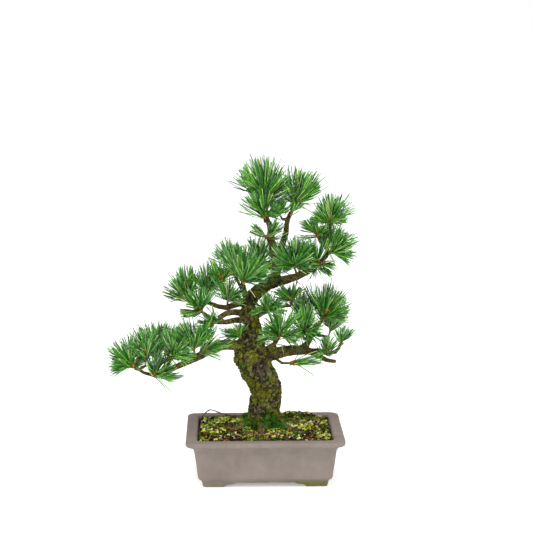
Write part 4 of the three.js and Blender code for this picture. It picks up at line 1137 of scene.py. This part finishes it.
def grow_trunk_moss(wood, moss_weight, vivid, random):
    """Short moss that stands on the bark, olive up the trunk and green round its foot."""
    olive = leaf_look("trunk_moss", even((58, 58, 10), (112, 112, 24), (164, 158, 54)),
                      (172, 164, 70), (0.75, 0.95))
    bright = leaf_look("base_moss", even((14, 42, 2), (44, 98, 10), (104, 150, 34)),
                       (104, 152, 38), (0.7, 0.9))
    above = points_of(wood.data)[:, 2] > soil_high.z - 6 * MM
    for name, weights, count, material in (
            ("trunk_moss_olive", smoothstep(moss_weight, 0.55, 0.8) * (1 - vivid) * above, 9000, olive),
            ("trunk_moss_green", smoothstep(moss_weight, 0.5, 0.8) * vivid * above, 4500, bright)):
        roots, out = tufts_on(wood, weights, count, random)
        directions = unit(out + random.normal(0, 0.5, out.shape) + np.array([0, 0, 0.15]))
        spikes_piece(name, roots - out * 0.3 * MM, directions, random.uniform(0.8, 2.1, count) * MM,
                     material, "moss", random, TRUNK_SPIKE_HALF)


def build_dry_roots():
    fibre = dry_root_look()
    for node in ("dry_root_back", "dry_root_front"):
        root = rounded(node, node.replace("dry_root", "loose_root"), fibre, 2)
        push_out(root.data, relief(points_of(root.data), (0.35, 260, 3)) * MM)
        finish_piece(root, "dry_root", node)


def build_ground(wood, moss_weight, vivid, soil):
    random = np.random.default_rng(GROUND_SEED)
    cushions = build_cushions(random)
    trees = ([surface_of(piece) for piece in (soil, *cushions)], surface_of(wood))
    scatter_grains(trees, random)
    lay_leaflets(trees, random)
    lay_litter(trees, random)
    grow_trunk_moss(wood, moss_weight, vivid, random)
    build_dry_roots()


# ---------- floor, light and camera ----------

# Each lamp's name, place, size and watts.
LAMPS = (("key", (-0.9, -1.3, 1.9), 1.6, 26), ("fill", (1.3, -0.9, 1.2), 1.4, 10))
LIT_HEIGHT = 0.2  # over the floor, where the lamps point
CAMERA_LENS = 105.62
CAMERA_SENSOR = 36
CAMERA_YAW = math.radians(1.503)
CAMERA_PITCH = math.radians(9.641)
CAMERA_ASIDE, CAMERA_BACK, CAMERA_HEIGHT = -0.0484, 1.9494, 0.6040  # from the pot's middle and the floor


def build_stage():
    corners = [(-6, -4, 0), (6, -4, 0), (6, 9, 0), (-6, 9, 0)]
    make_object("studio_floor", corners, [(0, 1, 2, 3)], [floor_look()])
    world = bpy.data.worlds.new("studio")
    scene.world = world
    world.use_nodes = True
    background = world.node_tree.nodes["Background"]
    background.inputs["Color"].default_value = (1, 1, 1, 1)
    background.inputs["Strength"].default_value = 1.0
    for name, place, size, power in LAMPS:
        light = bpy.data.lights.new(name, "AREA")
        light.size = size
        light.energy = power
        lamp = bpy.data.objects.new(name, light)
        lamp.location = place
        aim = Vector((pot_middle.x, pot_middle.y, LIT_HEIGHT)) - Vector(place)
        lamp.rotation_euler = aim.to_track_quat("-Z", "Y").to_euler()
        scene.collection.objects.link(lamp)


def build_camera():
    camera = bpy.data.cameras.new("camera")
    camera.sensor_width = CAMERA_SENSOR
    camera.lens = CAMERA_LENS
    camera.clip_end = 50
    seen_from = bpy.data.objects.new("camera", camera)
    seen_from.location = (pot_middle.x + CAMERA_ASIDE, pot_middle.y - CAMERA_BACK, CAMERA_HEIGHT)
    level = math.cos(CAMERA_PITCH)
    forward = Vector((math.sin(CAMERA_YAW) * level, math.cos(CAMERA_YAW) * level, -math.sin(CAMERA_PITCH)))
    seen_from.rotation_euler = forward.to_track_quat("-Z", "Y").to_euler()
    scene.collection.objects.link(seen_from)
    scene.camera = seen_from


build_pot()
build_drains()
wood, moss_weight, vivid = build_wood()
build_shoots(wood)
soil = build_soil()
build_ground(wood, moss_weight, vivid, soil)
build_stage()
build_camera()
scene.view_settings.view_transform = "Standard"
